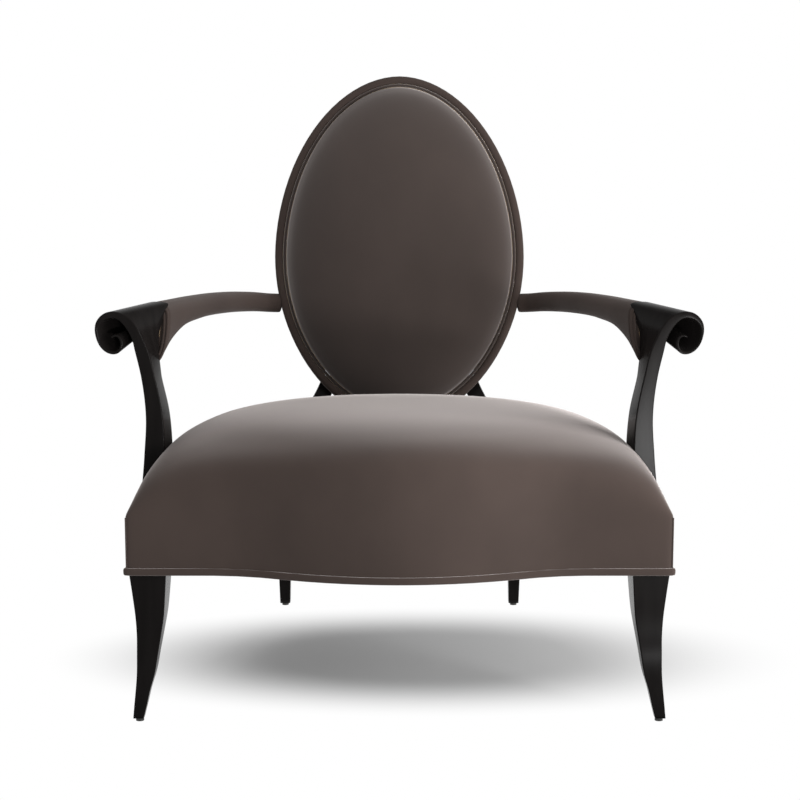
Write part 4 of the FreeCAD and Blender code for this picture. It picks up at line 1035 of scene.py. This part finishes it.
class ARMCHAIR_OT_stage(bpy.types.Operator):
    """Set up the pale floor, the soft light and the camera"""

    bl_idname = "armchair.stage"
    bl_label = "Stage"

    def execute(self, context):
        stage = context.scene.armchair_stage
        self.floor()
        self.surround(context.scene, stage)
        self.lamp("top_light", *TOP_LIGHT, stage.top_power)
        self.lamp("side_light", *SIDE_LIGHT, stage.side_power)
        self.lamp("low_card", *LOW_CARD, stage.card_power)
        camera = bpy.data.objects.new("camera", bpy.data.cameras.new("camera"))
        camera.data.lens, camera.data.sensor_width = stage.lens, SENSOR_WIDTH
        camera.data.shift_x = CAMERA_SHIFT
        camera.location = (0.0, -stage.camera_distance, stage.camera_height)
        camera.rotation_euler = (math.pi / 2 - stage.camera_tilt, 0.0, 0.0)
        context.scene.collection.objects.link(camera)
        context.scene.camera = camera
        context.scene.view_settings.view_transform = "Standard"
        return {"FINISHED"}

    def floor(self):
        """A pale floor that keeps the chair's shadow and fades to white."""
        bm = bmesh.new()
        bmesh.ops.create_circle(bm, cap_ends=True, segments=64, radius=FLOOR_RADIUS)
        mesh = bpy.data.meshes.new("floor")
        bm.to_mesh(mesh)
        bm.free()
        mesh.materials.append(self.floor_material())
        obj = bpy.data.objects.new("floor", mesh)
        bpy.context.scene.collection.objects.link(obj)

    def floor_material(self):
        """Grey round the chair, and beyond it white to the camera and in gloss."""
        material, tree, shader = new_material("pale_floor")
        set_inputs(shader, {"Roughness": 0.9, "Specular IOR Level": 0.1})
        white = node(tree, "ShaderNodeEmission", {"Color": (1, 1, 1, 1), "Strength": 1.0})
        place = node(tree, "ShaderNodeTexCoord")
        gradient = node(tree, "ShaderNodeTexGradient", gradient_type="SPHERICAL")
        mapping = node(tree, "ShaderNodeMapping", {"Location": SHADOW_PLACE, "Scale": SHADOW_SCALE})
        fade = node(tree, "ShaderNodeValToRGB")
        fade.color_ramp.elements[0].position, fade.color_ramp.elements[1].position = 0.0, SHADOW_FULL
        fade.color_ramp.interpolation = "EASE"
        mix = node(tree, "ShaderNodeMixShader")
        tree.links.new(place.outputs["Object"], mapping.inputs["Vector"])
        tree.links.new(mapping.outputs["Vector"], gradient.inputs["Vector"])
        tree.links.new(gradient.outputs["Fac"], fade.inputs["Fac"])
        rays = node(tree, "ShaderNodeLightPath")
        grey = node(tree, "ShaderNodeMix", data_type="RGBA")
        set_inputs(grey, {"A": (FLOOR_BOUNCE, FLOOR_BOUNCE, FLOOR_BOUNCE, 1),
                          "B": (FLOOR_GREY, FLOOR_GREY, FLOOR_GREY, 1)})
        tree.links.new(rays.outputs["Is Camera Ray"], grey.inputs["Factor"])
        tree.links.new(grey.outputs["Result"], shader.inputs["Base Color"])
        kept = node(tree, "ShaderNodeMath", operation="MAXIMUM")
        tree.links.new(fade.outputs["Color"], kept.inputs[0])
        tree.links.new(rays.outputs["Is Diffuse Ray"], kept.inputs[1])
        tree.links.new(kept.outputs["Value"], mix.inputs["Fac"])
        tree.links.new(white.outputs["Emission"], mix.inputs[1])
        tree.links.new(shader.outputs["BSDF"], mix.inputs[2])
        tree.links.new(mix.outputs["Shader"], tree.nodes["Material Output"].inputs["Surface"])
        return material

    def surround(self, scene, stage):
        """Even light from all round, which shows as white to the camera and in gloss."""
        world = bpy.data.worlds.new("studio")
        scene.world = world
        world.use_nodes = True
        tree = world.node_tree
        background = tree.nodes["Background"]
        background.inputs["Color"].default_value = (1, 1, 1, 1)
        rays = node(tree, "ShaderNodeLightPath")
        glossy = node(tree, "ShaderNodeMath", operation="MAXIMUM")
        clear = node(tree, "ShaderNodeMath", operation="MAXIMUM")
        strength = node(tree, "ShaderNodeMapRange", {"To Min": stage.surround, "To Max": 1.0})
        tree.links.new(rays.outputs["Is Camera Ray"], glossy.inputs[0])
        tree.links.new(rays.outputs["Is Glossy Ray"], glossy.inputs[1])
        tree.links.new(glossy.outputs["Value"], clear.inputs[0])
        tree.links.new(rays.outputs["Is Transmission Ray"], clear.inputs[1])
        tree.links.new(clear.outputs["Value"], strength.inputs["Value"])
        tree.links.new(strength.outputs["Result"], background.inputs["Strength"])

    def lamp(self, name, place, aim, size, power):
        """A soft lamp of a width and length at place, turned to aim."""
        light = bpy.data.lights.new(name, "AREA")
        light.shape, light.energy = "RECTANGLE", power
        light.size, light.size_y = size
        obj = bpy.data.objects.new(name, light)
        obj.visible_camera = False
        obj.location = place
        obj.rotation_euler = (Vector(aim) - Vector(place)).to_track_quat("-Z", "Y").to_euler()
        bpy.context.scene.collection.objects.link(obj)


class ARMCHAIR_PT_parts(bpy.types.Panel):
    """Lists the armchair's pieces and its sizes"""

    bl_idname = "ARMCHAIR_PT_parts"
    bl_label = "Armchair"
    bl_space_type = "VIEW_3D"
    bl_region_type = "UI"
    bl_category = "Armchair"

    def draw(self, context):
        for operator in OPERATORS:
            self.layout.operator(operator.bl_idname)
        for group in (context.scene.armchair_form, context.scene.armchair_finish, context.scene.armchair_stage):
            for name in group.bl_rna.properties.keys():
                if name not in ("rna_type", "name"):
                    self.layout.prop(group, name)


OPERATORS = (ARMCHAIR_OT_seat, ARMCHAIR_OT_back, ARMCHAIR_OT_arms, ARMCHAIR_OT_posts, ARMCHAIR_OT_legs,
             ARMCHAIR_OT_inside, ARMCHAIR_OT_stage)
CLASSES = (ChairForm, ChairFinish, ChairStage, ARMCHAIR_PT_parts) + OPERATORS


def register():
    for cls in CLASSES:
        bpy.utils.register_class(cls)
    bpy.types.Scene.armchair_form = bpy.props.PointerProperty(type=ChairForm)
    bpy.types.Scene.armchair_finish = bpy.props.PointerProperty(type=ChairFinish)
    bpy.types.Scene.armchair_stage = bpy.props.PointerProperty(type=ChairStage)


def unregister():
    del bpy.types.Scene.armchair_stage
    del bpy.types.Scene.armchair_finish
    del bpy.types.Scene.armchair_form
    for cls in reversed(CLASSES):
        bpy.utils.unregister_class(cls)


def main():
    register()
    for make in (bpy.ops.armchair.inside, bpy.ops.armchair.seat, bpy.ops.armchair.back, bpy.ops.armchair.arms,
                 bpy.ops.armchair.posts, bpy.ops.armchair.legs, bpy.ops.armchair.stage):
        make()
    bpy.context.view_layer.update()


if __name__ == "__main__":
    main()
